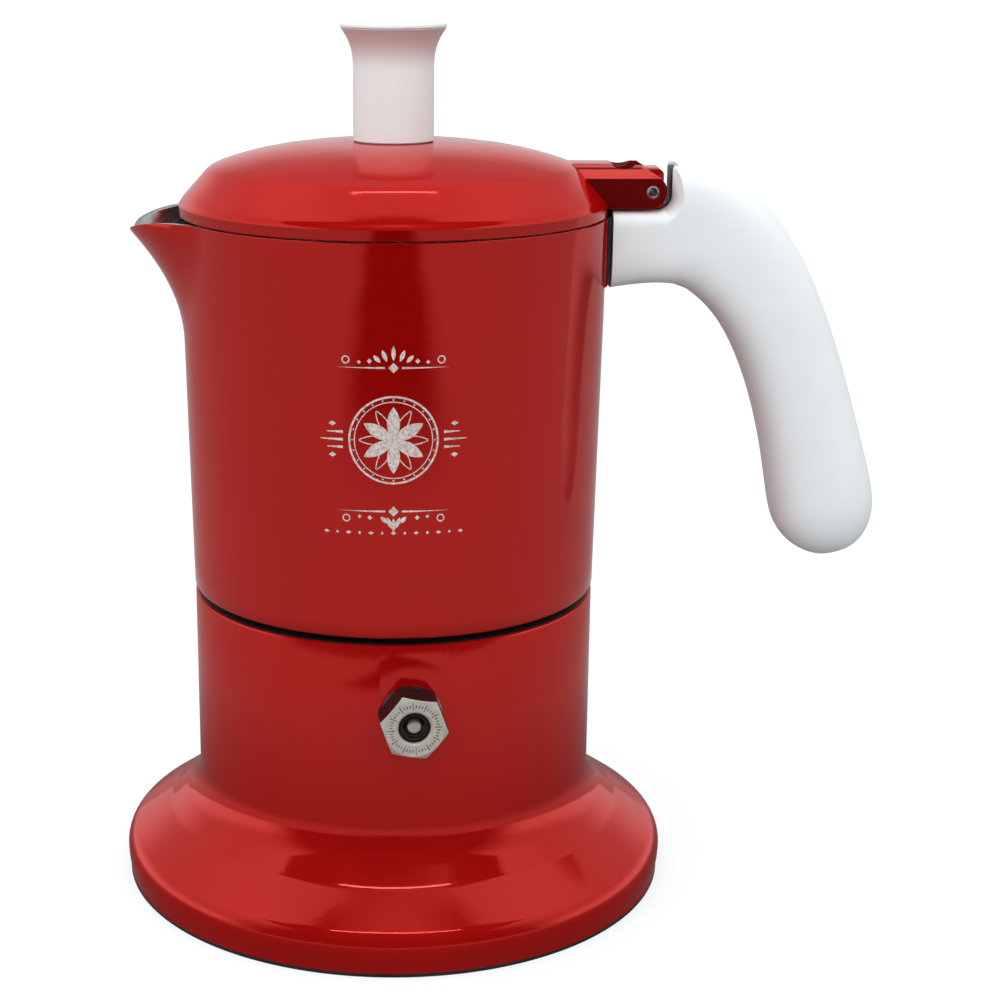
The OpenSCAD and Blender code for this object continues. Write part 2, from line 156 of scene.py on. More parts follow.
def reflected_card(name, place, size, strength):
    """A level card that only shows as a reflection in gloss."""
    mesh = bpy.data.meshes.new(name)
    bm = bmesh.new()
    bmesh.ops.create_grid(bm, x_segments=1, y_segments=1, size=0.5,
                          matrix=Matrix.Translation(place) @ Matrix.Diagonal((*size, 1)).to_4x4())
    bm.to_mesh(mesh)
    bm.free()
    card = bpy.data.objects.new(name, mesh)
    bpy.context.scene.collection.objects.link(card)
    face = bpy.data.materials.new(name)
    face.use_nodes = True
    tree = face.node_tree
    tree.nodes.clear()
    glow = coloured(tree, "ShaderNodeEmission", daylight, strength)
    wire(tree, glow.outputs[0], tree.nodes.new("ShaderNodeOutputMaterial").inputs["Surface"])
    mesh.materials.append(face)
    card.visible_camera = card.visible_diffuse = card.visible_shadow = card.visible_transmission = False


# A dark card over the front keeps the middle of the skirt deep red. A strip under the card draws two
# thin arcs there, and a long tube high above draws the line on the lid.
reflected_card("dark_card", (0, -0.206, 0.22), (0.34, 0.288), 0.05)
reflected_card("arc_strip", (0.002, -0.102, 0.215), (0.15, 0.0045), 24)
reflected_card("line_tube", (0.002, -0.195, 1.35), (0.62, 0.022), 24)

# The table top is a pale sheet that runs up to the horizon.
table_mesh = bpy.data.meshes.new("table")
bm = bmesh.new()
bmesh.ops.create_grid(bm, x_segments=1, y_segments=1, size=40)
bm.to_mesh(table_mesh)
bm.free()
table = bpy.data.objects.new("table", table_mesh)
bpy.context.scene.collection.objects.link(table)
table_paper = bpy.data.materials.new("table_paper")
table_paper.use_nodes = True
tree = table_paper.node_tree
tree.nodes.clear()
matte = coloured(tree, "ShaderNodeBsdfDiffuse", (0.26, 0.27, 0.275))
glow = coloured(tree, "ShaderNodeEmission", white_cloth)
ray = tree.nodes.new("ShaderNodeLightPath")
wire(tree, multiply(tree, ray.outputs["Is Camera Ray"], 0.69), glow.inputs["Strength"])
both = tree.nodes.new("ShaderNodeAddShader")
wire(tree, matte.outputs[0], both.inputs[0])
wire(tree, glow.outputs[0], both.inputs[1])
# Glossy rays see the table as a painted glow. It is dimmed far in front of the pot as painted shade, and darkened
# close round the pot as a painted shadow.
painted_table_gloss_glow = coloured(tree, "ShaderNodeEmission", (0.98, 1.0, 1.0))
spot = tree.nodes.new("ShaderNodeTexCoord")
where = separated(tree, spot.outputs["Object"])
far_front = rescale(tree, where["Y"], -0.50, -0.30, 1.0, 0.0, smooth=True)
off_centre = calculate(tree, "ABSOLUTE", where["X"])
middle = rescale(tree, off_centre, 0.14, 0.26, 1.0, 0.0, smooth=True)
shade = multiply(tree, far_front, middle)
reach = tree.nodes.new("ShaderNodeVectorMath")
reach.operation = "LENGTH"
wire(tree, spot.outputs["Object"], reach.inputs[0])
painted_pot_shadow = rescale(tree, reach.outputs["Value"], 0.06, 0.17, 0.3, 1.0, smooth=True)
wire(tree, multiply(tree, painted_pot_shadow, rescale(tree, shade, 0.0, 1.0, 0.52, 0.015)),
     painted_table_gloss_glow.inputs["Strength"])
wire(tree, either(tree, ray.outputs["Is Glossy Ray"], both.outputs[0], painted_table_gloss_glow.outputs[0]),
     tree.nodes.new("ShaderNodeOutputMaterial").inputs["Surface"])
table.data.materials.append(table_paper)


# ---- Boiler ----
# The lower vessel is cast aluminium, turned inside and on its neck and sprayed outside with red
# enamel. Its spread base ends in a rolled edge over a bare foot ring, and the neck carries a
# coarse thread. The enamel is stoved, so it has a slight orange peel and a few chips.
MM = 0.001
boiler_r, boiler_h = 42.8, 64.0
base_r, foot_r, foot_h = 59.17, 58.78, 0.9
skirt = math.radians(37)
skirt_h = 14.8
boiler_floor = 4.0
neck_r, neck_h = 37.2, 10.0
neck_z = boiler_h + neck_h
neck_bore = neck_r - 3.2
thread_depth, thread_pitch = 0.75, 3.0


def arc(centre, radius, start, end, steps):
    """Points (radius, height) along an arc, angles in degrees."""
    turns = [math.radians(start + (end - start) * i / steps) for i in range(steps + 1)]
    return [(centre[0] + radius * math.cos(a), centre[1] + radius * math.sin(a)) for a in turns]


def turned(outline, steps=144, closed=True, bm=None):
    """Spins an outline of (radius, height) in millimetres about Z, as a lathe would."""
    bm = bm or bmesh.new()
    verts = [bm.verts.new((r * MM, 0, z * MM)) for r, z in outline]
    edges = [bm.edges.new(pair) for pair in zip(verts, verts[1:])]
    if closed:
        edges.append(bm.edges.new((verts[-1], verts[0])))
    bmesh.ops.spin(bm, geom=verts + edges, cent=(0, 0, 0), axis=(0, 0, 1),
                   angle=2 * math.pi, steps=steps, use_merge=True)
    bmesh.ops.remove_doubles(bm, verts=bm.verts, dist=1e-6)
    bmesh.ops.dissolve_degenerate(bm, edges=bm.edges, dist=1e-7)
    bmesh.ops.recalc_face_normals(bm, faces=bm.faces)
    return bm


def make_piece(name, bm, finishes, body, nodes=(), sharp=32, edge=0.0):
    """Turns a bmesh into a piece that rides on a body and stands for its CAD nodes."""
    mesh = bpy.data.meshes.new(name)
    bm.to_mesh(mesh)
    bm.free()
    for finish in finishes:
        mesh.materials.append(finish)
    mesh.polygons.foreach_set("use_smooth", [True] * len(mesh.polygons))
    mesh.set_sharp_from_angle(angle=math.radians(sharp))
    piece = bpy.data.objects.new(name, mesh)
    bpy.context.scene.collection.objects.link(piece)
    if edge:
        rounding = piece.modifiers.new("edges", "BEVEL")
        rounding.width = edge * MM
        rounding.segments = 2
        rounding.limit_method = "ANGLE"
        rounding.angle_limit = math.radians(sharp)
    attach(piece, body)
    if nodes:
        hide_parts(*nodes)
    return piece


def carve(bm, *cutters):
    """Cuts closed shapes out of a closed shape. All the given shapes are used up."""
    blank, *tools = [bpy.data.objects.new("blank", bpy.data.meshes.new("blank")) for _ in (bm, *cutters)]
    for holder, shape in zip((blank, *tools), (bm, *cutters)):
        shape.to_mesh(holder.data)
        shape.free()
        bpy.context.scene.collection.objects.link(holder)
    for tool in tools:
        cut = blank.modifiers.new("cut", "BOOLEAN")
        cut.operation, cut.solver, cut.object = "DIFFERENCE", "EXACT", tool
    bpy.context.view_layer.update()
    carved = blank.evaluated_get(bpy.context.evaluated_depsgraph_get())
    result = bmesh.new()
    result.from_mesh(carved.to_mesh())
    carved.to_mesh_clear()
    for holder in (blank, *tools):
        mesh = holder.data
        bpy.data.objects.remove(holder)
        bpy.data.meshes.remove(mesh)
    bmesh.ops.remove_doubles(result, verts=result.verts, dist=2e-6)
    bmesh.ops.dissolve_degenerate(result, edges=result.edges, dist=1e-6)
    return result


def join(bm, *others):
    """Adds other shapes to a shape; they are used up."""
    for other in others:
        mesh = bpy.data.meshes.new("shape")
        other.to_mesh(mesh)
        other.free()
        bm.from_mesh(mesh)
        bpy.data.meshes.remove(mesh)


def cylinder(radius, low, high, matrix):
    """A closed cylinder between two heights, in millimetres, placed by a matrix."""
    bm = bmesh.new()
    place = matrix @ Matrix.Translation(Vector((0, 0, (low + high) / 2)) * MM)
    bmesh.ops.create_cone(bm, cap_ends=True, segments=64, radius1=radius * MM, radius2=radius * MM,
                          depth=(high - low) * MM, matrix=place)
    return bm


def whereabouts(face):
    """A face's middle, with its distance from the pot's axis and its height in millimetres."""
    centre = face.calc_center_median()
    return centre, math.hypot(centre.x, centre.y) / MM, centre.z / MM


def new_group(name, inputs, outputs):
    """A shader node group with named sockets: (name, kind, default) in, (name, kind) out."""
    kinds = {"value": "NodeSocketFloat", "colour": "NodeSocketColor", "vector": "NodeSocketVector"}
    group = bpy.data.node_groups.new(name, "ShaderNodeTree")
    for label, kind, default in inputs:
        socket = group.interface.new_socket(label, in_out="INPUT", socket_type=kinds[kind])
        socket.default_value = default
    for label, kind in outputs:
        group.interface.new_socket(label, in_out="OUTPUT", socket_type=kinds[kind])
    return group, group.nodes.new("NodeGroupInput"), group.nodes.new("NodeGroupOutput")


def add_group(tree, group, **values):
    node = tree.nodes.new("ShaderNodeGroup")
    node.node_tree = group
    for label, value in values.items():
        node.inputs[label.replace("_", " ")].default_value = value
    return node


def object_place(tree):
    return tree.nodes.new("ShaderNodeTexCoord").outputs["Object"]


def noise(tree, vector, scale, detail=2.0, roughness=0.5, dimensions="3D"):
    node = tree.nodes.new("ShaderNodeTexNoise")
    node.noise_dimensions = dimensions
    node.inputs["Scale"].default_value = scale
    node.inputs["Detail"].default_value = detail
    node.inputs["Roughness"].default_value = roughness
    wire(tree, vector, node.inputs["W" if dimensions == "1D" else "Vector"])
    return node.outputs["Fac"]


def blend_colours(tree, amount, first, second):
    node = tree.nodes.new("ShaderNodeMix")
    node.data_type = "RGBA"
    for socket, value in ((node.inputs[0], amount), (node.inputs[6], first), (node.inputs[7], second)):
        if isinstance(value, (int, float, tuple)):
            socket.default_value = value
        else:
            wire(tree, value, socket)
    return node.outputs[2]


def new_material(name):
    material = bpy.data.materials.new(name)
    material.use_nodes = True
    tree = material.node_tree
    return material, tree, tree.nodes["Principled BSDF"]


def bump(tree, height, strength, distance, target):
    node = tree.nodes.new("ShaderNodeBump")
    node.inputs["Strength"].default_value = strength
    node.inputs["Distance"].default_value = distance
    wire(tree, height, node.inputs["Height"])
    wire(tree, node.outputs["Normal"], target)


# Stoved enamel: colour drift, orange peel, and tiny chips, some down to a dark primer and some pale
stoved, inside, outside = new_group(
    "stoved_enamel",
    [("Colour", "colour", (0.4, 0.01, 0.01, 1)), ("Gloss", "value", 0.12)],
    [("Colour", "colour"), ("Roughness", "value"), ("Height", "value")],
)
spot = object_place(stoved)
drift = rescale(stoved, noise(stoved, spot, 34, 3), 0.3, 0.7, 0.93, 1.05)
tinted = stoved.nodes.new("ShaderNodeVectorMath")
tinted.operation = "SCALE"
wire(stoved, inside.outputs["Colour"], tinted.inputs[0])
wire(stoved, drift, tinted.inputs["Scale"])
cells = stoved.nodes.new("ShaderNodeTexVoronoi")
cells.inputs["Scale"].default_value = 62
wire(stoved, spot, cells.inputs["Vector"])
ragged = multiply(stoved, noise(stoved, spot, 1600, 2), 0.05)
near = add(stoved, cells.outputs["Distance"], ragged)
near = rescale(stoved, near, 0.045, 0.065, 1.0, 0.0)
lottery = stoved.nodes.new("ShaderNodeSeparateColor")
wire(stoved, cells.outputs["Color"], lottery.inputs[0])
chosen = calculate(stoved, "GREATER_THAN", lottery.outputs["Red"], 0.95)
chip = multiply(stoved, near, chosen)
primer = blend_colours(stoved, calculate(stoved, "GREATER_THAN", lottery.outputs["Green"], 0.55),
                       (0.09, 0.01, 0.01, 1), (0.42, 0.17, 0.16, 1))
wire(stoved, blend_colours(stoved, chip, tinted.outputs[0], primer), outside.inputs["Colour"])
fine = noise(stoved, spot, 520, 2)
smear = rescale(stoved, noise(stoved, spot, 60, 4, 0.6), 0.35, 0.75, 0.0, 0.05)
gloss = add(stoved, inside.outputs["Gloss"], smear)
wire(stoved, add(stoved, gloss, multiply(stoved, chip, 0.4)), outside.inputs["Roughness"])
swell = multiply(stoved, noise(stoved, spot, 75, 1), 5.0)
height = add(stoved, multiply(stoved, fine, 0.5), swell)
wire(stoved, calculate(stoved, "SUBTRACT", height, chip), outside.inputs["Height"])


def enamel_paint(name, colour, gloss=0.07, shine=1.0):
    material, tree, surface = new_material(name)
    skin = add_group(tree, stoved, Colour=colour, Gloss=gloss)
    wire(tree, skin.outputs["Colour"], surface.inputs["Base Color"])
    wire(tree, skin.outputs["Roughness"], surface.inputs["Roughness"])
    surface.inputs["IOR"].default_value = 2.1
    surface.inputs["Specular IOR Level"].default_value = shine
    surface.inputs["Specular Tint"].default_value = (1.0, 0.12, 0.10, 1)
    bump(tree, skin.outputs["Height"], 0.35, 0.00006, surface.inputs["Normal"])
    return material


def from_axis(tree, parts):
    """Distance from the Z axis."""
    x, y = parts["X"], parts["Y"]
    return calculate(tree, "SQRT", add(tree, multiply(tree, x, x), multiply(tree, y, y)))


# Turned metal: fine grooves round the pot's axis, cloudy stains, and dull scuffs
lathe_work, inside, outside = new_group(
    "lathe_work",
    [("Colour", "colour", (0.7, 0.7, 0.69, 1)), ("Stain", "colour", (0.25, 0.2, 0.16, 1)),
     ("Staining", "value", 0.3), ("Polish", "value", 0.3), ("Groove scale", "value", 900.0)],
    [("Colour", "colour"), ("Roughness", "value"), ("Height", "value")],
)
spot = object_place(lathe_work)
parts = separated(lathe_work, spot)
along = add(lathe_work, from_axis(lathe_work, parts), parts["Z"])
groove_step = multiply(lathe_work, along, inside.outputs["Groove scale"])
groove = noise(lathe_work, groove_step, 3.0, 3, 0.6, "1D")
cloud = rescale(lathe_work, noise(lathe_work, spot, 55, 5, 0.65), 0.42, 0.72, 0.0, 1.0, smooth=True)
stain = multiply(lathe_work, cloud, inside.outputs["Staining"])
wire(lathe_work, blend_colours(lathe_work, stain, inside.outputs["Colour"], inside.outputs["Stain"]),
     outside.inputs["Colour"])
dull = add(lathe_work, inside.outputs["Polish"], multiply(lathe_work, stain, 0.35))
wire(lathe_work, add(lathe_work, dull, rescale(lathe_work, groove, 0.3, 0.7, -0.05, 0.08)),
     outside.inputs["Roughness"])
wire(lathe_work, groove, outside.inputs["Height"])


def turned_metal(name, colour, stain, staining, polish, groove=900.0):
    material, tree, surface = new_material(name)
    skin = add_group(tree, lathe_work, Colour=colour, Stain=stain, Staining=staining, Polish=polish,
                     Groove_scale=groove)
    wire(tree, skin.outputs["Colour"], surface.inputs["Base Color"])
    wire(tree, skin.outputs["Roughness"], surface.inputs["Roughness"])
    surface.inputs["Metallic"].default_value = 1.0
    bump(tree, skin.outputs["Height"], 0.4, 0.00004, surface.inputs["Normal"])
    return material


def mottled(name, first, second, scale, detail, rough, metallic=0.0, softness=0.5, relief=0.0, grain=None):
    """A plain finish that drifts between two colours and two roughnesses, with a fine relief."""
    material, tree, surface = new_material(name)
    spot = object_place(tree)
    patch = noise(tree, spot, scale, detail, softness)
    wire(tree, blend_colours(tree, patch, (*first, 1), (*second, 1)), surface.inputs["Base Color"])
    surface.inputs["Metallic"].default_value = metallic
    wire(tree, rescale(tree, patch, 0.3, 0.7, *rough), surface.inputs["Roughness"])
    if relief:
        bump(tree, noise(tree, spot, grain, 2) if grain else patch, relief, 0.00003, surface.inputs["Normal"])
    return material


def dress(material, *nodes):
    """Gives a finish to pieces that are shown just as they stand in the frame."""
    for node in nodes:
        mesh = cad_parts[node].data
        mesh.materials.clear()
        mesh.materials.append(material)


red_enamel = enamel_paint("red_enamel", (0.29, 0.0014, 0.0010, 1))
bare_aluminium = turned_metal("bare_aluminium", (0.62, 0.62, 0.61, 1), (0.2, 0.16, 0.13, 1), 0.45, 0.3)
# Near-black metal for the foot ring, also used as painted shade in the seam at the neck's root
dark_foot_and_seam_shade = turned_metal("dark_foot_and_seam_shade", (0.10, 0.09, 0.09, 1), (0.03, 0.02, 0.02, 1), 0.5, 0.45)

fillet, roll, under = 10.0, 4.4, 20.0


def slope_z(r, height):
    return height - (r - 50) * math.tan(skirt)


fillet_centre = (boiler_r + fillet, slope_z(boiler_r + fillet, skirt_h) + fillet / math.cos(skirt))
roll_centre = (base_r - roll, slope_z(base_r - roll, skirt_h) - roll / math.cos(skirt))
under_centre = (base_r - under, roll_centre[1])
under_start = -math.degrees(math.asin((roll_centre[1] - foot_h - 0.6) / under))
skirt_deg = math.degrees(skirt)
outline = [(0, 0.5), (46, 0.5), (47, 0.05), (foot_r - 0.2, 0.0), (foot_r, 0.2), (foot_r, foot_h)]
outline += arc(under_centre, under, under_start, 0, 8)
outline += arc(roll_centre, roll, 6, 90 - skirt_deg - 1, 16)
# The skirt meets the fillet in a faint crease, given from the fillet's centre
crease = ((4.3, -15.79), (-2.6, -11.03), (-2.92, -10.81), (-3.22, -10.6), (-3.52, -10.37), (-3.82, -10.11),
          (-4.1, -9.85))
outline += [(fillet_centre[0] + x, fillet_centre[1] + z) for x, z in crease]
outline += arc(fillet_centre, fillet, 227, 180, 16)
outline += [(boiler_r, 30), (boiler_r, 45), (boiler_r, boiler_h - 0.5), (boiler_r - 0.15, boiler_h - 0.15),
            (boiler_r - 0.5, boiler_h)]
core_r = neck_r - thread_depth
outline += [(core_r + 0.4, boiler_h), (core_r, boiler_h + 0.4), (core_r, boiler_h + 1.9),
            (core_r, neck_z - 0.8), (core_r - 0.8, neck_z), (neck_bore + 0.5, neck_z),
            (neck_bore, neck_z - 0.5), (neck_bore, boiler_h - 1)]
boiler_wall = 3.0
hollow_r, hollow_slope = boiler_r - boiler_wall, skirt_h - boiler_wall / math.cos(skirt)
hollow_z = slope_z(hollow_r, hollow_slope)
outline += arc((hollow_r - 6, boiler_h - 8), 6, 60, 0, 6) + [(hollow_r, hollow_z + 3)]
outline += [(hollow_r + 1, hollow_z), (base_r - 7, slope_z(base_r - 7, hollow_slope))]
outline += arc((base_r - 8, boiler_floor + 2), 2, 20, -90, 5) + [(30, boiler_floor), (0, boiler_floor)]
# The valve's seat is faced flat on the wall, a little to the handle's side of the front
valve_turn, valve_seat, valve_z = math.radians(4.8 - 90), 42.1, 49.2
valve_frame = (Matrix.Rotation(valve_turn, 4, "Z")
               @ Matrix.Translation(Vector((valve_seat, 0, valve_z)) * MM)
               @ Matrix.Rotation(math.radians(90), 4, "Y"))
bm = carve(turned(outline, steps=192, closed=False), cylinder(6.3, 0, 3, valve_frame),
           cylinder(5.02, -6, 1, valve_frame))
# Material 2 is near-black metal on the foot ring. On the shoulder ring and the neck's root, deep in the seam under
# the collector, it is painted shade.
for face in bm.faces:
    centre, r, z = whereabouts(face)
    if z < foot_h + 0.1 or (core_r - 0.1 < r < boiler_r - 0.6 and boiler_h - 0.05 < z < boiler_h + 1.8):
        face.material_index = 2
    elif r < boiler_r - 0.55 and not (r > 40 and face.normal.z > 0.2 and z < 30):
        face.material_index = 1
    if z < 30 and r > hollow_r and face.normal.to_2d().dot(centre.to_2d()) > -0.001 * MM and z > foot_h + 0.1:
        face.material_index = 0
# The thread's ridge stands on the neck's core
thread_turns, thread_steps = 1.7, 204
ridge = [bm.verts.new(((core_r + dr) * MM, 0, (boiler_h + 2.2 + dz) * MM))
         for dr, dz in ((-0.3, 0.0), (thread_depth, 0.9), (thread_depth, 1.3), (-0.3, 2.2))]
ridge_edges = [bm.edges.new(pair) for pair in zip(ridge, ridge[1:])]
bmesh.ops.spin(bm, geom=ridge + ridge_edges, cent=(0, 0, 0), axis=(0, 0, 1), angle=2 * math.pi * thread_turns,
               steps=thread_steps, dvec=(0, 0, thread_pitch * MM * thread_turns / thread_steps),
               use_merge=False)
for face in bm.faces:
    if all(abs(math.hypot(v.co.x, v.co.y) / MM - core_r) < 1.2 and v.co.z / MM > boiler_h + 1
           for v in face.verts):
        face.material_index = 1
make_piece("boiler_casting", bm, [red_enamel, bare_aluminium, dark_foot_and_seam_shade], "boiler", ["boiler"], 28)


# ---- Safety valve ----
# A nickel-plated brass hexagon screws into the boiler's wall over a soft aluminium washer. A steel
# pin with a rubber seal slides in its bore against a coil spring, held in by a blackened ring.
# The face carries a plain ring of tick marks.
across_flats, face_z, face_r = 12.0, 7.8, 5.83


def hexagon_radius(x, y):
    """Distance from the valve's axis to the hexagon's side in this direction."""
    off_flat = (math.degrees(math.atan2(y, x)) - 50 + 30) % 60 - 30
    return across_flats / 2 / math.cos(math.radians(off_flat))


bm = turned([(1.6, -6.5), (4.6, -6.5), (5.0, -6.1), (5.0, 1.0), (6.5, 1.0), (6.5, 7.4), (face_r, face_z),
             (3.6, face_z), (3.2, face_z - 0.4), (3.2, -5.0), (1.6, -5.0)], steps=72)
for vert in bm.verts:
    r = math.hypot(vert.co.x, vert.co.y) / MM
    if 6.4 < r < 6.6:
        side = hexagon_radius(vert.co.x, vert.co.y)
        vert.co.x *= side / r
        vert.co.y *= side / r
        if vert.co.z / MM > 5:
            vert.co.z = (face_z - (side - face_r) * math.tan(math.radians(32))) * MM
bmesh.ops.transform(bm, matrix=valve_frame, verts=bm.verts)

nickel, tree, surface = new_material("nickel_plate")
spot = tree.nodes.new("ShaderNodeTexCoord")
centred = tree.nodes.new("ShaderNodeMapping")
centred.vector_type = "TEXTURE"
centred.inputs["Location"].default_value = valve_frame.translation
centred.inputs["Rotation"].default_value = valve_frame.to_euler()
wire(tree, spot.outputs["Object"], centred.inputs["Vector"])
parts = separated(tree, centred.outputs[0])
radius = from_axis(tree, parts)
angle = calculate(tree, "ARCTAN2", parts["Y"], parts["X"])
step = calculate(tree, "FRACT", multiply(tree, angle, 48 / (2 * math.pi)))
tick = calculate(tree, "LESS_THAN", calculate(tree, "ABSOLUTE", calculate(tree, "SUBTRACT", step, 0.5)), 0.19)
beat = calculate(tree, "FRACT", multiply(tree, angle, 12 / (2 * math.pi)))
long_tick = calculate(tree, "LESS_THAN", beat, 0.25)
reach = add(tree, multiply(tree, long_tick, 0.00045), 0.0003)
off_ring = calculate(tree, "ABSOLUTE", calculate(tree, "SUBTRACT", radius, 0.0047))
in_ring = calculate(tree, "LESS_THAN", off_ring, reach)
on_face = calculate(tree, "GREATER_THAN", parts["Z"], (face_z - 0.05) * MM)
worn_ink = rescale(tree, noise(tree, spot.outputs["Object"], 1500, 3), 0.3, 0.62, 0.55, 1.0)
ink = multiply(tree, tick, in_ring, on_face, worn_ink)
cloud = rescale(tree, noise(tree, spot.outputs["Object"], 420, 4, 0.6), 0.35, 0.7, 0.0, 1.0)
metal = blend_colours(tree, cloud, (0.52, 0.485, 0.43, 1), (0.43, 0.40, 0.355, 1))
wire(tree, blend_colours(tree, ink, metal, (0.11, 0.055, 0.035, 1)), surface.inputs["Base Color"])
surface.inputs["Metallic"].default_value = 0.4
polish = rescale(tree, cloud, 0, 1, 0.36, 0.48)
wire(tree, add(tree, multiply(tree, ink, 0.25), polish), surface.inputs["Roughness"])
rings = noise(tree, multiply(tree, radius, 5200.0), 1.0, 2, 0.5, "1D")
bump(tree, calculate(tree, "SUBTRACT", rings, multiply(tree, ink, 2.0)), 0.3, 0.00003,
     surface.inputs["Normal"])
# The flats are painted almost black as painted shade
into_valve = valve_frame.inverted()
for face in bm.faces:
    centre, normal = into_valve @ face.calc_center_median(), into_valve.to_3x3() @ face.normal
    if abs(normal.z) < 0.3 and math.hypot(centre.x, centre.y) > 5.5 * MM and 1.2 * MM < centre.z:
        face.material_index = 1
painted_shade_flats = turned_metal("painted_shade_flats", (0.10, 0.085, 0.08, 1), (0.02, 0.012, 0.01, 1), 0.8, 0.28, 1500)
make_piece("valve_hexagon", bm, [nickel, painted_shade_flats], "boiler", ["valve_body"], 25, 0.09)

dress(turned_metal("soft_washer", (0.30, 0.28, 0.27, 1), (0.10, 0.06, 0.05, 1), 0.6, 0.45), "valve_washer")

# Blackened steel for the valve's ring, also used as painted shade in the bore of the hinge pin
blackened_and_bore_shade = mottled("blackened_steel_and_bore_shade", (0.012, 0.012, 0.013), (0.035, 0.034, 0.034), 900, 3, (0.28, 0.42), 0.7)
bm = turned([(2.3, 6.25), (2.35, 6.2), (3.15, 6.2), (3.2, 6.25), (3.2, 6.85), (3.05, 6.9), (2.95, 6.6),
             (2.75, 6.6), (2.65, 6.9), (2.4, 6.9), (2.3, 6.8)], steps=72)
bmesh.ops.transform(bm, matrix=valve_frame, verts=bm.verts)
make_piece("valve_ring", bm, [blackened_and_bore_shade], "boiler", ["valve_retainer"], 35)

spring_steel = mottled("spring_steel", (0.33, 0.32, 0.31), (0.5, 0.49, 0.47), 1300, 3, (0.25, 0.4), 1.0)
bm = bmesh.new()
wire_r, coil_r, turns, lowest, highest = 0.25, 2.7, 6, -2.65, 5.9
ring = bmesh.ops.create_circle(bm, segments=10, radius=wire_r * MM)["verts"]
bmesh.ops.rotate(bm, verts=ring, cent=(0, 0, 0), matrix=Matrix.Rotation(math.radians(90), 3, "X"))
bmesh.ops.translate(bm, verts=ring, vec=(coil_r * MM, 0, lowest * MM))
bmesh.ops.spin(bm, geom=ring + list(bm.edges), cent=(0, 0, 0), axis=(0, 0, 1), angle=2 * math.pi * turns,
               steps=turns * 32, dvec=(0, 0, (highest - lowest) * MM / (turns * 32)), use_merge=False)
bmesh.ops.holes_fill(bm, edges=bm.edges, sides=12)
bmesh.ops.recalc_face_normals(bm, faces=bm.faces)
bmesh.ops.transform(bm, matrix=valve_frame, verts=bm.verts)
spring = make_piece("valve_coil", bm, [spring_steel], "boiler", ["valve_spring"], 50)
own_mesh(spring)

pin_steel = turned_metal("pin_steel", (0.74, 0.69, 0.62, 1), (0.3, 0.24, 0.2, 1), 0.35, 0.22)
outline = [(0, -4.1), (2.85, -4.1), (2.95, -4.0), (2.95, -3.1), (2.85, -3.0), (1.55, -3.0), (1.55, 6.25)]
outline += arc((0.95, 6.2), 0.6, 0, 90, 6) + [(0, 6.8)]
bm = turned(outline, steps=48, closed=False)
bmesh.ops.transform(bm, matrix=valve_frame, verts=bm.verts)
make_piece("valve_plunger", bm, [pin_steel], "valve_pin", ["valve_pin"], 35)

black_rubber = mottled("black_rubber", (0.012, 0.012, 0.012), (0.03, 0.03, 0.03), 700, 4, (0.5, 0.7),
                       relief=0.3)
bm = turned([(0, -4.95), (2.5, -4.95), (2.7, -4.75), (2.7, -4.3), (2.5, -4.1), (0, -4.1)], steps=48,
            closed=False)
bmesh.ops.transform(bm, matrix=valve_frame, verts=bm.verts)
make_piece("valve_disc", bm, [black_rubber], "valve_pin", ["valve_seal"], 50)


# ---- Funnel and its strainer ----
# The coffee funnel is pressed and turned from thin aluminium, with a rolled rim that hangs on the
# boiler's neck. A perforated disc is pressed into the bottom of its basket.
basket_r, basket_h, stem_r, funnel_wall = 33.6, 23.0, 5.2, 0.9
cone_top = neck_z - basket_h
spun_aluminium = turned_metal("spun_aluminium", (0.66, 0.66, 0.65, 1), (0.22, 0.16, 0.11, 1), 0.5, 0.24, 1400)
inner_r = basket_r - funnel_wall
outline = [(stem_r - 0.2, 9.0), (stem_r, 9.2), (stem_r, cone_top - 6.5), (stem_r + 0.6, cone_top - 5.3),
           (basket_r - 1.6, cone_top - 0.5), (basket_r, cone_top + 1.2), (basket_r, 60),
           (basket_r, neck_z - 0.3), (basket_r + 0.3, neck_z), (neck_r - 0.6, neck_z), (neck_r - 0.5, neck_z + 0.15),
           (neck_r - 0.5, neck_z + 0.65), (neck_r - 0.65, neck_z + 0.8), (inner_r + 0.4, neck_z + 0.8),
           (inner_r, neck_z + 0.4), (inner_r, 60), (inner_r, cone_top + 1.6), (inner_r - 1.2, cone_top + 0.2),
           (stem_r + 0.2, cone_top - 4.7), (stem_r - funnel_wall, cone_top - 5.8), (stem_r - funnel_wall, 9.2),
           (stem_r - funnel_wall + 0.2, 9.0)]
bm = turned(outline, steps=144)
make_piece("funnel_pressing", bm, [spun_aluminium], "funnel", ["funnel"], 30)

dress(turned_metal("steel_sheet", (0.5, 0.5, 0.49, 1), (0.2, 0.13, 0.08, 1), 0.5, 0.3, 500),
      "funnel_strainer", "filter_plate")


# ---- Seal ----
# A pale rubber ring is pushed into the collector's socket and holds the filter plate up. Coffee has
# browned its inner edge.
pale_rubber, tree, surface = new_material("pale_rubber")
spot = object_place(tree)
browned = rescale(tree, noise(tree, spot, 90, 4, 0.6), 0.42, 0.7, 0.0, 0.7)
wire(tree, blend_colours(tree, browned, (0.68, 0.66, 0.60, 1), (0.42, 0.33, 0.22, 1)),
     surface.inputs["Base Color"])
surface.inputs["Roughness"].default_value = 0.6
bump(tree, noise(tree, spot, 800, 3), 0.25, 0.00004, surface.inputs["Normal"])
seal_z, seal_h, seal_bore = neck_z + 0.8, 3.2, 30.5
seal_r, seal_top = neck_r - 0.3, seal_z + seal_h
bm = turned([(seal_bore, seal_z + 0.5), (seal_bore + 0.5, seal_z), (seal_r - 0.5, seal_z),
             (seal_r, seal_z + 0.5), (seal_r, seal_top - 0.5), (seal_r - 0.5, seal_top), (seal_bore + 0.5, seal_top),
             (seal_bore, seal_top - 0.5)])
make_piece("seal_ring", bm, [pale_rubber], "seal", ["gasket"], 60)


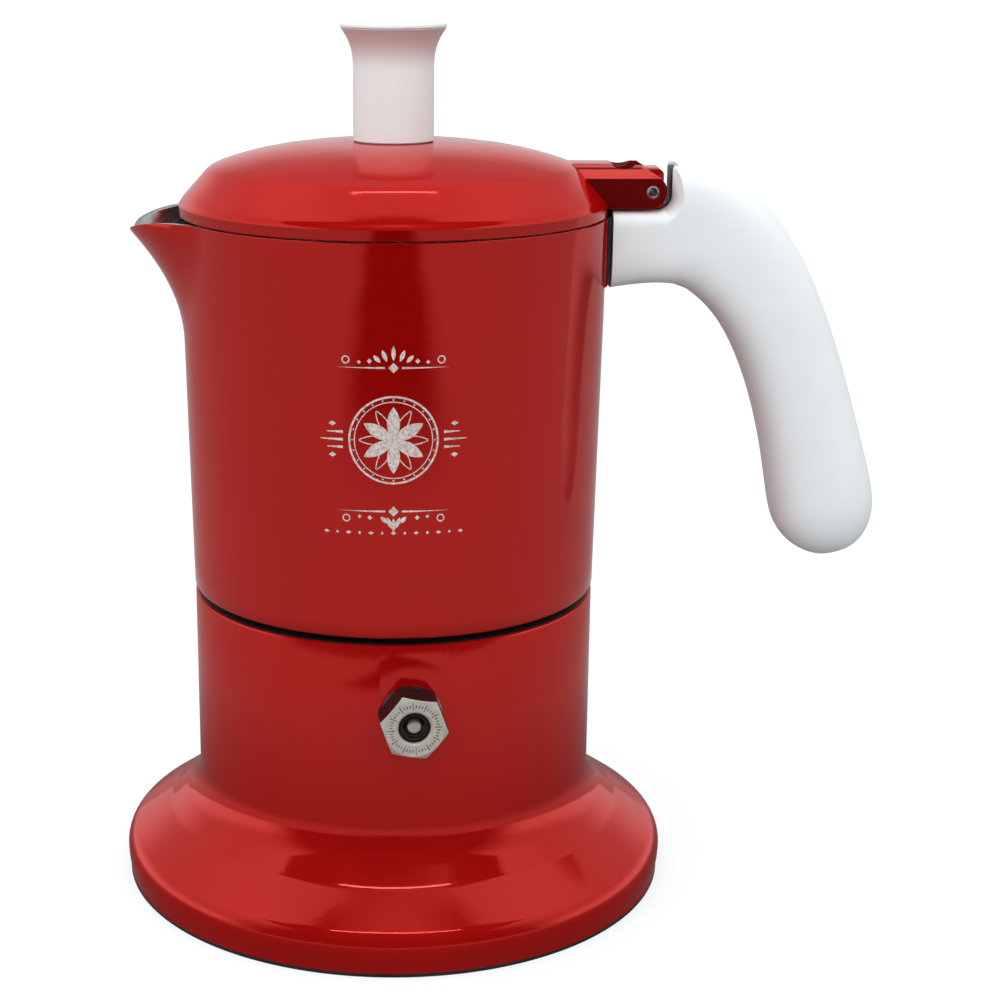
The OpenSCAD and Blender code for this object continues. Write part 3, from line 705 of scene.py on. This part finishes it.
# ---- Collector ----
# The upper vessel is cast in one piece with its riser column, the tang and pad for the handle, and
# the lug of the hinge. Its outside is enamelled; the rim and the inside are bare, and the wall draws
# out into a blunt pouring lip that thins to its edge.
collector_r0, collector_r1, collector_z0, rim_z = 42.9, 44.3, 65.4, 143.9
collector_wall, socket_r, socket_z, column_r, column_top, column_bore = 2.4, 37.5, 79.0, 7.5, 124.0, 4.2
tip_r, tip_z, beak_start, beak_half = 54.1, 139.8, 118.0, 27.0
seat_x, plate_x, pad_w, pad_z = 43.6, 42.2, 8.8, 129.4
pin_x, pin_z, pin_r = 52.7, 149.1, 1.3


def collector_radius(z):
    return collector_r0 + (collector_r1 - collector_r0) * (z - collector_z0) / (rim_z - collector_z0)


def beak_shape(t):
    """Height of the lip's plan from 1 at its middle to 0 where it has died into the wall."""
    if t < 0.8:
        return 1 - t ** 1.5
    if t > 1.2:
        return 0.0
    s, value, slope, span = (t - 0.8) / 0.4, 1 - 0.8 ** 1.5, -1.5 * 0.8 ** 0.5, 0.4
    return value * (2 * s ** 3 - 3 * s ** 2 + 1) + slope * span * (s ** 3 - 2 * s ** 2 + s)


def lip_height(degrees):
    """Height of the rim at an angle from the middle of the lip."""
    t = degrees / beak_half
    crest = tip_z + 4.1 * math.sin(math.pi / 2 * min(t / 0.8, 1))
    if t <= 0.8:
        return crest
    s = min((t - 0.8) / 0.3, 1)
    return crest + (rim_z - crest) * s * s * (3 - 2 * s)


floor_z = socket_z + 5
wall_steps = [floor_z + 6 + i * (beak_start - 6 - floor_z - 6) / 4 for i in range(4)]
wall_steps += [beak_start - 6 + i * (rim_z - 0.15 - beak_start + 6) / 20 for i in range(21)]
outline = [(socket_r, collector_z0 + 0.4), (socket_r + 0.4, collector_z0), (collector_r0 - 0.6, collector_z0),
           (collector_r0 - 0.2, collector_z0 + 0.15), (collector_r0, collector_z0 + 0.6)]
outline += [(collector_radius(z), z) for z in [70, 78] + wall_steps]
outline += [(collector_r1 - 0.12, rim_z), (collector_r1 - collector_wall + 0.3, rim_z)]
outline += [(collector_radius(z) - collector_wall, z) for z in reversed(wall_steps)]
wall_r = collector_radius(floor_z + 6) - collector_wall
outline += [(wall_r - 1.2, floor_z + 2.4), (wall_r - 4, floor_z), (column_r + 6, floor_z + 1.4),
            (column_r + 3, floor_z + 3), (column_r + 1, floor_z + 5), (column_r, floor_z + 8),
            (column_r - 1.9, column_top - 3), (column_r - 2.6, column_top - 0.8), (column_r - 3.6, column_top),
            (0, column_top)]
bm = turned(outline, steps=240, closed=False)
turned([(0, column_top - 2.5), (column_bore - 0.6, column_top - 2.5), (column_bore, socket_z + 6.5),
        (20, socket_z + 3.6), (31, socket_z + 1.8), (33, socket_z), (socket_r, socket_z), (socket_r, 74),
        (socket_r, collector_z0 + 0.4)], steps=240, closed=False, bm=bm)
bmesh.ops.remove_doubles(bm, verts=bm.verts, dist=1e-6)
bmesh.ops.recalc_face_normals(bm, faces=bm.faces)
window = bmesh.new()
bmesh.ops.create_cube(window, size=1, matrix=Matrix.Translation(Vector((0, 0, 115.5)) * MM)
                      @ Matrix.Diagonal(Vector((20, 3, 7)) * MM).to_4x4())
bm = carve(bm, window)
for face in bm.faces:
    centre, r, z = whereabouts(face)
    outer = r > collector_radius(z) - 0.45 and z < rim_z - 0.05
    lower_edge = z < collector_z0 + 0.7 and r > collector_r0 - 0.7
    face.material_index = 0 if outer or lower_edge else 1
for vert in bm.verts:
    x, y, z = vert.co / MM
    r = math.hypot(x, y)
    if r > 30 and z > beak_start:
        off = abs(math.degrees(math.atan2(y, -x)))
        z_new = beak_start + (z - beak_start) * (lip_height(off) - beak_start) / (rim_z - beak_start)
        u = max(0.0, (z_new - beak_start) / (tip_z - beak_start))
        half = 12 + (beak_half - 12) * min(u, 1) ** 0.8
        shape = beak_shape(off / half)
        from_outside = collector_radius(z) - r
        thinned = from_outside * (1 - 0.68 * shape * min(u, 1))
        drawn_out = (tip_r - collector_r1) * min(u, 1.1) ** 1.87 * shape
        r_new = collector_radius(min(z_new, rim_z)) + drawn_out - thinned
        vert.co = Vector((x / r * r_new, y / r * r_new, z_new)) * MM
    if vert.co.x / MM > seat_x and vert.co.z / MM > pad_z - 2:
        vert.co.x = seat_x * MM


def plate(bm, outline, levels, material=0, hole=None):
    """A plate from an outline of (x, z), standing on two or more values of y, all in millimetres."""
    drawn = [outline] if hole is None else [outline, arc(hole[:2], hole[2], 0, 345, 23)]
    edges = []
    for loop in drawn:
        verts = [bm.verts.new((x * MM, levels[0] * MM, z * MM)) for x, z in loop]
        edges += [bm.edges.new(pair) for pair in zip(verts, verts[1:] + verts[:1])]
    if hole is None:
        ends = [bm.faces.new(verts)]
    else:
        filled = bmesh.ops.triangle_fill(bm, edges=edges, use_beauty=True)["geom"]
        ends = [item for item in filled if isinstance(item, bmesh.types.BMFace)]
    faces = set(ends)
    for low, high in zip(levels, levels[1:]):
        geometry = bmesh.ops.extrude_face_region(bm, geom=ends)["geom"]
        if low != levels[0]:
            bmesh.ops.delete(bm, geom=ends, context="FACES_ONLY")
        moved = [item for item in geometry if isinstance(item, bmesh.types.BMVert)]
        ends = [item for item in geometry if isinstance(item, bmesh.types.BMFace)]
        bmesh.ops.translate(bm, verts=moved, vec=(0, (high - low) * MM, 0))
        faces |= {f for v in moved for f in v.link_faces}
    faces = [f for f in faces if f.is_valid]
    bmesh.ops.recalc_face_normals(bm, faces=faces)
    for item in faces:
        item.material_index = material
    return faces


def soften(bm, faces, width, segments=2, angle=30):
    """Rounds the sharp edges of some faces."""
    edges = list({e for f in faces if f.is_valid for e in f.edges
                  if len(e.link_faces) == 2 and math.degrees(e.calc_face_angle(0)) > angle})
    bmesh.ops.bevel(bm, geom=edges, offset=width * MM, segments=segments, profile=0.5, affect="EDGES",
                    material=-1, clamp_overlap=True)


ledge_z, lug_w, tang_w, tang_x, tang_z, tang_top = 145.1, 4.1, 4.0, 56.0, 135.5, 142.0
web_z, lug_top = pin_z + 1.9, pin_z + 4.2
faces = plate(bm, [(plate_x, pad_z), (seat_x, pad_z), (seat_x, rim_z), (plate_x, rim_z)], [-pad_w, pad_w])
soften(bm, faces, 0.5, 3)
faces = plate(bm, [(plate_x, tang_z), (tang_x, tang_z), (tang_x, tang_top), (plate_x, tang_top)],
              [-tang_w, tang_w], 1)
soften(bm, faces, 0.4)
lug = [(plate_x, 128), (seat_x - 0.1, 130), (seat_x - 0.1, ledge_z + 0.3), (pin_x + 2.6, ledge_z + 0.3)]
lug += arc((pin_x + 1.4, lug_top - 1.2), 1.2, 0, 90, 6)
lug += [(pin_x - 1.2, lug_top), (pin_x - 3.2, web_z - 0.4), (plate_x, web_z - 0.4)]
faces = plate(bm, lug, [-lug_w, lug_w], hole=(pin_x, pin_z, pin_r + 0.05))
soften(bm, faces, 0.3)
polished_inside = turned_metal("polished_inside", (0.60, 0.60, 0.60, 1), (0.16, 0.11, 0.08, 1), 0.5, 0.2, 700)
make_piece("collector_casting", bm, [red_enamel, polished_inside], "collector", ["collector"], 28)


# ---- Ornament ----
# A compass-drawn rosette between two tapered bars is printed on the front in silver-white. The print
# is a thin skin that follows the wall, a little broken where the enamel's peel shows through.
mark_z, mark_gap = 106.0, 0.05


def on_wall(bm):
    """Bends a flat drawing, x across and y up in millimetres, onto the collector's front."""
    for vert in bm.verts:
        across, z = vert.co.x, mark_z + vert.co.y
        r = collector_radius(z) + mark_gap
        vert.co = Vector((r * math.sin(across / r), -r * math.cos(across / r), z)) * MM


def ring_band(bm, x, y, inner, outer, segments, start=0, end=360):
    """A flat band along an arc."""
    a = math.radians(start)
    pair = [bm.verts.new((x + r * math.cos(a), y + r * math.sin(a), 0)) for r in (inner, outer)]
    edge = bm.edges.new(pair)
    whole = end - start == 360
    bmesh.ops.spin(bm, geom=pair + [edge], cent=(x, y, 0), axis=(0, 0, 1), angle=math.radians(end - start),
                   steps=segments, use_merge=whole)


def lens_petal(bm, x, y, length, width, turn):
    """A pointed petal between two arcs, with its foot at x, y."""
    steps = 10
    rows = []
    for i in range(steps + 1):
        u = i / steps
        half = width / 2 * math.sin(math.pi * u) ** 0.8
        rows.append((u * length, half))
    c, s = math.cos(math.radians(turn)), math.sin(math.radians(turn))
    left = [bm.verts.new((x + c * a - s * h, y + s * a + c * h, 0)) for a, h in rows]
    right = [bm.verts.new((x + c * a + s * h, y + s * a - c * h, 0)) for a, h in rows[1:-1]]
    bm.faces.new(left + right[::-1])


def lozenge(bm, x, y, wide, high):
    bm.faces.new([bm.verts.new((x + dx * wide / 2, y + dy * high / 2, 0))
                  for dx, dy in ((1, 0), (0, 1), (-1, 0), (0, -1))])


bm = bmesh.new()
ring_band(bm, 0, 0, 8.35, 8.75, 96)
ring_band(bm, 0, 0, 7.45, 7.65, 96)
for k in range(6):
    lens_petal(bm, 0, 0, 6.6, 2.5, 60 * k + 30)
    ring_band(bm, 6.9 * math.cos(math.radians(60 * k)), 6.9 * math.sin(math.radians(60 * k)), 6.75, 6.95, 24,
              60 * k + 122, 60 * k + 238)
for k in range(24):
    a = math.radians(15 * k)
    lozenge(bm, 8.0 * math.cos(a), 8.0 * math.sin(a), 0.42, 0.42)
for side in (-1, 1):
    # Three tapered bars point away from the ring, between two lozenges
    for level, long in ((0, 4.6), (1.5, 3.2), (-1.5, 3.2)):
        near, far = side * 9.8, side * (9.8 + long)
        bm.faces.new([bm.verts.new((x, level + dy, 0)) for x, dy in
                      ((near, -0.28), (far, -0.06), (far, 0.06), (near, 0.28))])
    lozenge(bm, side * 11.9, 3.1, 1.5, 1.0)
    lozenge(bm, side * 11.9, -3.1, 1.5, 1.0)
for level in (14.2, -14.2):
    for side in (-1, 1):
        bm.faces.new([bm.verts.new((side * x, level + side * dy, 0)) for x, dy in
                      ((11, 0), (1.6, 0.2), (1.6, -0.2))])
    lozenge(bm, 0, level, 2.0, 2.0)
    up = 1 if level > 0 else -1
    for k in range(-2, 3):
        lens_petal(bm, k * 1.25, level + up * (1.4 - 0.18 * abs(k)), 2.9 - 0.5 * abs(k), 0.85,
                   up * (90 - up * k * 22))
    for side in (-1, 1):
        lozenge(bm, side * 4.6, level + up * 1.3, 1.0, 1.0)
        lozenge(bm, side * 6.6, level + up * 1.1, 0.8, 0.8)
        ring_band(bm, side * 9.2, level + up * 1.5, 0.55, 0.8, 20)
for k in range(-6, 7):
    lozenge(bm, k * 2.2, -18.6, 1.1 if k % 2 == 0 else 0.6, 0.7)
bmesh.ops.triangulate(bm, faces=bm.faces)
bmesh.ops.subdivide_edges(bm, edges=[e for e in bm.edges if e.calc_length() > 1.5], cuts=2)
on_wall(bm)
bmesh.ops.recalc_face_normals(bm, faces=bm.faces)
for face in bm.faces:
    if face.normal.y > 0:
        face.normal_flip()
silver_print, tree, surface = new_material("silver_print")
spot = object_place(tree)
thin = rescale(tree, noise(tree, spot, 1900, 3), 0.36, 0.62, 0.0, 1.0)
wire(tree, blend_colours(tree, thin, (0.46, 0.33, 0.31, 1), (0.70, 0.64, 0.61, 1)),
     surface.inputs["Base Color"])
surface.inputs["Metallic"].default_value = 0.15
wire(tree, rescale(tree, thin, 0, 1, 0.45, 0.3), surface.inputs["Roughness"])
bump(tree, thin, 0.2, 0.00002, surface.inputs["Normal"])
make_piece("front_ornament", bm, [silver_print], "collector", sharp=60)


# ---- Heat spacer ----
# A black moulded liner keeps the plastic handle off the hot casting: a seat, a narrow ledge under
# the hinge arm and a short wall behind it.
spacer_t, recess_x, liner_w, handle_w = 1.2, 57.0, 4.3, 8.5
handle_x = seat_x + spacer_t
bm = bmesh.new()
liner_low, liner_top = ledge_z - spacer_t, 153.4
faces = plate(bm, [(seat_x, pad_z + 0.3), (seat_x + 0.3, pad_z + 0.3), (seat_x + 0.6, pad_z + 3),
                   (seat_x + 0.85, 140), (handle_x - 0.3, 144.0), (seat_x, 144.0)],
              [-handle_w + 0.3, handle_w - 0.3])
soften(bm, faces, 0.2)
faces = plate(bm, [(handle_x - 0.4, liner_low), (recess_x + spacer_t, liner_low),
                   (recess_x + spacer_t, liner_top), (recess_x, liner_top), (recess_x, ledge_z),
                   (handle_x - 0.4, ledge_z)], [-liner_w, liner_w])
soften(bm, faces, 0.25)
black_plastic = mottled("black_plastic", (0.006, 0.006, 0.007), (0.014, 0.014, 0.015), 1100, 3, (0.4, 0.55),
                        relief=0.3)
make_piece("handle_liner", bm, [black_plastic], "collector", ["handle_spacer"], 30)


# ---- Handle ----
# The grip is one solid moulding in matte white thermoset. It leaves the pot almost level, turns
# down in a long curve and ends in a full round nose. A recess in its top clears the hinge arm.
# Each station is x, z, half thickness and half width
stations = [(44.8, 141.7, 12.8, 8.5), (52, 142.1, 12.2, 8.5), (59.5, 141.9, 12.25, 8.6), (64.5, 140, 12.1, 8.8),
            (69, 137.1, 11.75, 9), (75.4, 129.9, 10.85, 9.3), (80.5, 120.6, 10.2, 9.5), (85, 108.9, 10.05, 9.5),
            (88.5, 96.5, 10.35, 9.6), (91, 86, 11, 9.7), (92.3, 79.5, 10.7, 9.2), (92.9, 74.8, 8.5, 7.5),
            (93.1, 72, 5.3, 4.9), (93.2, 70.7, 2, 2)]


def smooth_between(values, position):
    """A smooth value between the listed ones (Catmull-Rom)."""
    i = min(int(position), len(values) - 2)
    t = position - i
    a, b = values[max(i - 1, 0)], values[i]
    c, d = values[i + 1], values[min(i + 2, len(values) - 1)]
    return 0.5 * (2 * b + (c - a) * t + (2 * a - 5 * b + 4 * c - d) * t * t + (3 * b - a - 3 * c + d) * t ** 3)


bm = bmesh.new()
loops = []
per_span, smoothings = 6, 8
rows = [[smooth_between(column, i / per_span) for column in zip(*stations)]
        for i in range(per_span * (len(stations) - 1) + 1)]
for _ in range(smoothings):
    inner_rows = [[(a + 2 * b + c) / 4 for a, b, c in zip(*three)] for three in zip(rows, rows[1:], rows[2:])]
    rows = rows[:1] + inner_rows + rows[-1:]
for i, (x, z, half_t, half_w) in enumerate(rows):
    ahead, behind = rows[min(i + 1, len(rows) - 1)], rows[max(i - 1, 0)]
    run = Vector((ahead[0] - behind[0], ahead[1] - behind[1])).normalized()
    # The first sections stand square to the pot, and the section grows rounder toward the nose
    run = Vector((1, 0)).lerp(run, min(i / 12, 1)).normalized()
    power = 0.45 + 0.35 * min(max((i / per_span - 1.5) / 5, 0), 1)
    ring = bmesh.ops.create_circle(bm, segments=56, radius=1)["verts"]
    for vert in ring:
        u = math.copysign(abs(vert.co.x) ** power, vert.co.x) * half_t
        w = math.copysign(abs(vert.co.y) ** power, vert.co.y) * half_w
        vert.co = Vector((x - run.y * u, w, z + run.x * u)) * MM
    loops.append(list({e for v in ring for e in v.link_edges}))
for first, second in zip(loops, loops[1:]):
    bmesh.ops.bridge_loops(bm, edges=first + second)
bmesh.ops.holes_fill(bm, edges=bm.edges, sides=60)
bmesh.ops.recalc_face_normals(bm, faces=bm.faces)

# The recess widens toward both sides and the top, so that its mouth is rounded. Each corner of its
# outline goes with the direction in which it is pushed out.
flare, corner_r = 2.0, 3.0
clear_x, clear_z = 30, 170
recess = bmesh.new()
outline = [((clear_x, ledge_z), (0, -1))]
outline += [((recess_x - corner_r + corner_r * math.cos(a), ledge_z + corner_r + corner_r * math.sin(a)),
             (math.cos(a), math.sin(a))) for a in [math.radians(-90 + 10 * i) for i in range(10)]]
outline += [((recess_x, liner_top), (1, 0)), ((recess_x + 0.2, liner_top + 0.5), (1, 0)),
            ((recess_x + 0.8, liner_top + 0.9), (1, 0)), ((recess_x + 0.8, clear_z), (1, 0)),
            ((clear_x, clear_z), (0, 0))]
side_levels = [liner_w + (handle_w + 0.2 - liner_w) * i / 8 for i in range(9)] + [20]
plate(recess, [point for point, _ in outline], [-y for y in reversed(side_levels)] + side_levels)
away = dict(((round(x, 3), round(z, 3)), push) for (x, z), push in outline)
for vert in recess.verts:
    x, y, z = vert.co / MM
    push = away[round(x, 3), round(z, 3)]
    sideways = min(max((abs(y) - liner_w) / (handle_w - liner_w), 0), 1.05)
    rise = flare * sideways ** (1.7 if push[0] > 0.5 else 5)
    vert.co += Vector((push[0], 0, push[1])) * rise * MM
channel = bmesh.new()
plate(channel, [(clear_x, liner_low), (recess_x + spacer_t, liner_low), (recess_x + spacer_t, clear_z),
                (clear_x, clear_z)], [-liner_w - 0.05, liner_w + 0.05])
pocket = bmesh.new()
plate(pocket, [(clear_x, tang_z - 0.05), (tang_x + 0.3, tang_z - 0.05), (tang_x + 0.3, tang_top + 0.05),
               (clear_x, tang_top + 0.05)], [-tang_w - 0.05, tang_w + 0.05])
screw_x, head_bore, shank_bore = 51, 4.1, 2.2
at_screw = Matrix.Translation(Vector((screw_x, 0, 0)) * MM)
bm = carve(bm, recess, channel, pocket, cylinder(head_bore, 110, 133.5, at_screw),
           cylinder(shank_bore, 130, 139, at_screw))
white_grip = mottled("white_grip", (0.70, 0.72, 0.73), (0.77, 0.785, 0.795), 120, 4, (0.46, 0.56),
                     softness=0.6, relief=0.25, grain=1500)
make_piece("handle_grip", bm, [white_grip], "collector", ["handle"], 35, 0.45)

dress(turned_metal("bright_steel", (0.56, 0.55, 0.53, 1), (0.25, 0.18, 0.12, 1), 0.4, 0.25, 1200),
      "handle_screw", "handle_washer", "knob_screw", "knob_washer")


# ---- Lid and hinge ----
# The lid is a thin casting with a low dome, a bevelled shoulder and a short straight rim. Two ears
# on its arm take a slotted spring pin that turns in the collector's lug; the slot between them was
# opened with a round cutter.
lid_z, lid_rim_h, crown_z, lid_wall, shoulder_r = 144.2, 2.9, 158.7, 2.0, 38.0
ear_w, ear_t, ear_r, arm_root, arm_top, arm_crown = 4.4, 3.2, 3.4, 36.0, pin_z + 5.1, 2.4
web_end, shoulder_z = pin_x - 7.8, crown_z - 5


def dome(r, top, edge_r, edge_z):
    return top - (top - edge_z) * (r / edge_r) ** 3


outline = [(r, dome(r, crown_z, shoulder_r, shoulder_z)) for r in (0, 5, 10, 15, 20, 25, 29, 32, 34, 36)]
outline += [(37.1, dome(37.1, crown_z, shoulder_r, shoulder_z) - 0.05), (37.7, 153.7), (38.3, 153.25),
            (38.9, 152.65), (39.6, 151.85), (41.5, 149.75), (43.3, 147.75), (43.7, 147.25), (43.88, 146.8),
            (collector_r1, 146.3), (collector_r1, lid_z + 0.12), (collector_r1 - 0.12, lid_z)]
inner_rim = collector_r1 - lid_wall
outline += [(inner_rim + 0.25, lid_z), (inner_rim, lid_z + 0.3), (inner_rim, lid_z + lid_rim_h - 0.8)]
inner_crown = crown_z - lid_wall
outline += [(r, dome(r, inner_crown, shoulder_r - lid_wall / 2, shoulder_z - lid_wall * 0.8))
            for r in (37, 34, 30, 25, 20, 15, 10, 6)]
outline += [(4.9, inner_crown - 0.02), (4.8, inner_crown), (0, inner_crown)]
slot = bmesh.new()
plate(slot, [(arm_root, lid_z - 1), (48, lid_z - 1), (48, web_z), (arm_root, web_z)], [-ear_w, ear_w])
bm = carve(turned(outline, steps=240, closed=False), slot)
# The arm's ears are crowned: their tops fall away to the outside
arm = bmesh.new()
ear = [(arm_root, pin_z - ear_r)] + arc((pin_x - 0.5, pin_z), ear_r, -90, 55, 12)
ear += [(ear[-1][0] - i * 0.9, ear[-1][1] + i * 0.57) for i in range(1, 4)]
ear += [(pin_x - 2.2, arm_top), (arm_root, arm_top)]
flat_top = ear_w + 0.4
across = [ear_w, flat_top] + [flat_top + ear_t * i / 6 for i in range(1, 7)]
for side in (-1, 1):
    faces = plate(arm, ear, [side * y for y in across[::side]], hole=(pin_x, pin_z, pin_r + 0.02))
    for vert in {v for f in faces for v in f.verts}:
        fall = min(max((abs(vert.co.y) / MM - flat_top) / ear_t, 0), 1)
        vert.co.z = min(vert.co.z, (arm_top - arm_crown * fall ** 1.8) * MM)
web = bmesh.new()
plate(web, [(arm_root, web_z), (web_end, web_z), (web_end, arm_top), (arm_root, arm_top)],
      [-ear_w - 0.6, ear_w + 0.6])
notch, notch_r = bmesh.new(), 2.9
notch_centres = {side: Vector((46.8, side * ear_w, arm_top + 1.6)) * MM for side in (-1, 1)}
for centre in notch_centres.values():
    bmesh.ops.create_uvsphere(notch, u_segments=32, v_segments=24, radius=notch_r * MM,
                              matrix=Matrix.Translation(centre))
arm = carve(arm, notch)
soften(arm, list(arm.faces), 0.2, 2, 40)
soften(web, list(web.faces), 0.25)
lid_enamel = enamel_paint("lid_enamel", (0.345, 0.0018, 0.0011, 1))
# A paler, rougher copy of the enamel with less shine, as painted sheen for the arm's crowned tops and ends
painted_sheen_arm_enamel = enamel_paint("painted_sheen_arm_enamel", (0.44, 0.035, 0.028, 1), 0.35, 0.5)
# A darker copy of the lid's enamel, as painted shade for the straight rim band
painted_shade_rim_enamel = enamel_paint("painted_shade_rim_enamel", (0.23, 0.0012, 0.0009, 1))
# A much darker copy of the enamel, as painted shade for the ears' flat sides and the faces of the round cut
painted_shade_ear_enamel = enamel_paint("painted_shade_ear_enamel", (0.085, 0.0006, 0.0005, 1), 0.45, 0.12)
for face in bm.faces:
    centre, r, z = whereabouts(face)
    under_dome = r < inner_rim + 0.2 and face.normal.z <= 0 and centre.x / MM < arm_root - 0.5
    face.material_index = 1 if under_dome else 0
    # The straight rim band takes the darker copy as painted shade
    if r > collector_r1 - 0.05 and z < 146.4:
        face.material_index = 2
# The ears' flat sides and the round cut's faces take the painted shade. The arm's other faces take the paler painted
# sheen.
for face in arm.faces:
    centre = face.calc_center_median()
    nick = notch_centres[1 if centre.y > 0 else -1]
    in_shade = abs(face.normal.y) > 0.95 or (centre - nick).length < (notch_r + 0.03) * MM
    face.material_index = 3 if in_shade else 4
join(bm, arm, web)
lid_inside = turned_metal("lid_inside", (0.58, 0.58, 0.57, 1), (0.2, 0.14, 0.1, 1), 0.45, 0.32, 700)
make_piece("lid_casting", bm, [lid_enamel, lid_inside, painted_shade_rim_enamel, painted_shade_ear_enamel, painted_sheen_arm_enamel], "lid", ["lid"],
           28)

bm = bmesh.new()
pin_wall = [bm.verts.new((r * MM, 0, z * MM)) for r, z in
            ((pin_r - 0.45, -7.6), (pin_r - 0.1, -7.7), (pin_r, -7.5),
             (pin_r, 7.5), (pin_r - 0.1, 7.7), (pin_r - 0.45, 7.6))]
ring_edges = [bm.edges.new(pair) for pair in zip(pin_wall, pin_wall[1:] + pin_wall[:1])]
bmesh.ops.spin(bm, geom=pin_wall + ring_edges, cent=(0, 0, 0), axis=(0, 0, 1), angle=math.radians(345),
               steps=46, use_merge=False)
bmesh.ops.holes_fill(bm, edges=bm.edges, sides=8)
bmesh.ops.recalc_face_normals(bm, faces=bm.faces)
pin_frame = (Matrix.Translation(Vector((pin_x, 0, pin_z)) * MM) @ Matrix.Rotation(math.radians(90), 4, "X")
             @ Matrix.Rotation(math.radians(-10), 4, "Z"))
bmesh.ops.transform(bm, matrix=pin_frame, verts=bm.verts)
# The bore of the rolled pin is painted near black as painted shade
for face in bm.faces:
    centre = face.calc_center_median()
    if math.hypot(centre.x - pin_x * MM, centre.z - pin_z * MM) < (pin_r - 0.4) * MM:
        face.material_index = 1
pin_metal = turned_metal("pin_metal", (0.62, 0.58, 0.54, 1), (0.25, 0.2, 0.16, 1), 0.3, 0.22, 1500)
make_piece("hinge_spring_pin", bm, [pin_metal, blackened_and_bore_shade], "lid", ["hinge_pin"], 40)


# ---- Knob ----
# The knob is turned white thermoset: a straight shaft that flares to a wide lip, closed by a thin
# domed cap. A screw from inside the lid runs into its brass insert.
knob_r, knob_top_r, knob_h = 8.3, 10.9, 22.7
knob_top = crown_z + knob_h
outline = [(0, crown_z), (knob_r - 0.25, crown_z), (knob_r, crown_z + 0.25), (knob_r, crown_z + 9)]
outline += [(knob_r + (knob_top_r - 0.15 - knob_r) * u ** 2.4, knob_top - 7.7 * (1 - u) - 0.1)
            for u in [i / 14 for i in range(15)]]
outline += [(knob_top_r - 0.3, knob_top), (knob_top_r - 2.2, knob_top), (knob_top_r - 2.2, knob_top - 2),
            (0, knob_top - 2)]
bm = turned(outline, steps=96, closed=False)
white_knob, tree, surface = new_material("white_knob")
spot = object_place(tree)
mottle = noise(tree, spot, 150, 4, 0.6)
plain = blend_colours(tree, mottle, (0.70, 0.685, 0.68, 1), (0.77, 0.755, 0.75, 1))
parts = separated(tree, spot)
# Under its lip the flare is painted pinker and darker, as painted red light bounced from the lid and painted shade
painted_lid_bounce = rescale(tree, parts["Z"], (knob_top - 9) * MM, (knob_top - 2) * MM, 0.0, 1.0, smooth=True)
below_cap = calculate(tree, "LESS_THAN", parts["Z"], (knob_top - 0.15) * MM)
painted_lid_bounce = multiply(tree, painted_lid_bounce, below_cap)
wire(tree, blend_colours(tree, painted_lid_bounce, plain, (0.60, 0.43, 0.415, 1)), surface.inputs["Base Color"])
wire(tree, rescale(tree, mottle, 0.3, 0.7, 0.4, 0.5), surface.inputs["Roughness"])
bump(tree, noise(tree, spot, 1500, 2), 0.2, 0.00003, surface.inputs["Normal"])
make_piece("knob_turning", bm, [white_knob], "lid", ["knob"], 35)

cap_t, cap_dome = 0.9, 0.7
sphere_r = (knob_top_r ** 2 + cap_dome ** 2) / (2 * cap_dome)
outline = [(0, knob_top - 1.8), (knob_top_r - 2.3, knob_top - 1.8), (knob_top_r - 2.3, knob_top),
           (knob_top_r - 0.3, knob_top + 0.05), (knob_top_r - 0.05, knob_top + 0.2),
           (knob_top_r, knob_top + 0.45), (knob_top_r - 0.1, knob_top + 0.75)]
outline += [(r, knob_top + cap_t + math.sqrt(sphere_r ** 2 - r * r) - sphere_r + cap_dome)
            for r in (10.4, 9.5, 8, 6, 4, 2, 0)]
bm = turned(outline, steps=96, closed=False)
make_piece("knob_lid_disc", bm, [white_knob], "lid", ["knob_cap"], 35)

dress(turned_metal("brass", (0.62, 0.42, 0.16, 1), (0.25, 0.15, 0.06, 1), 0.4, 0.25, 1200), "knob_insert")
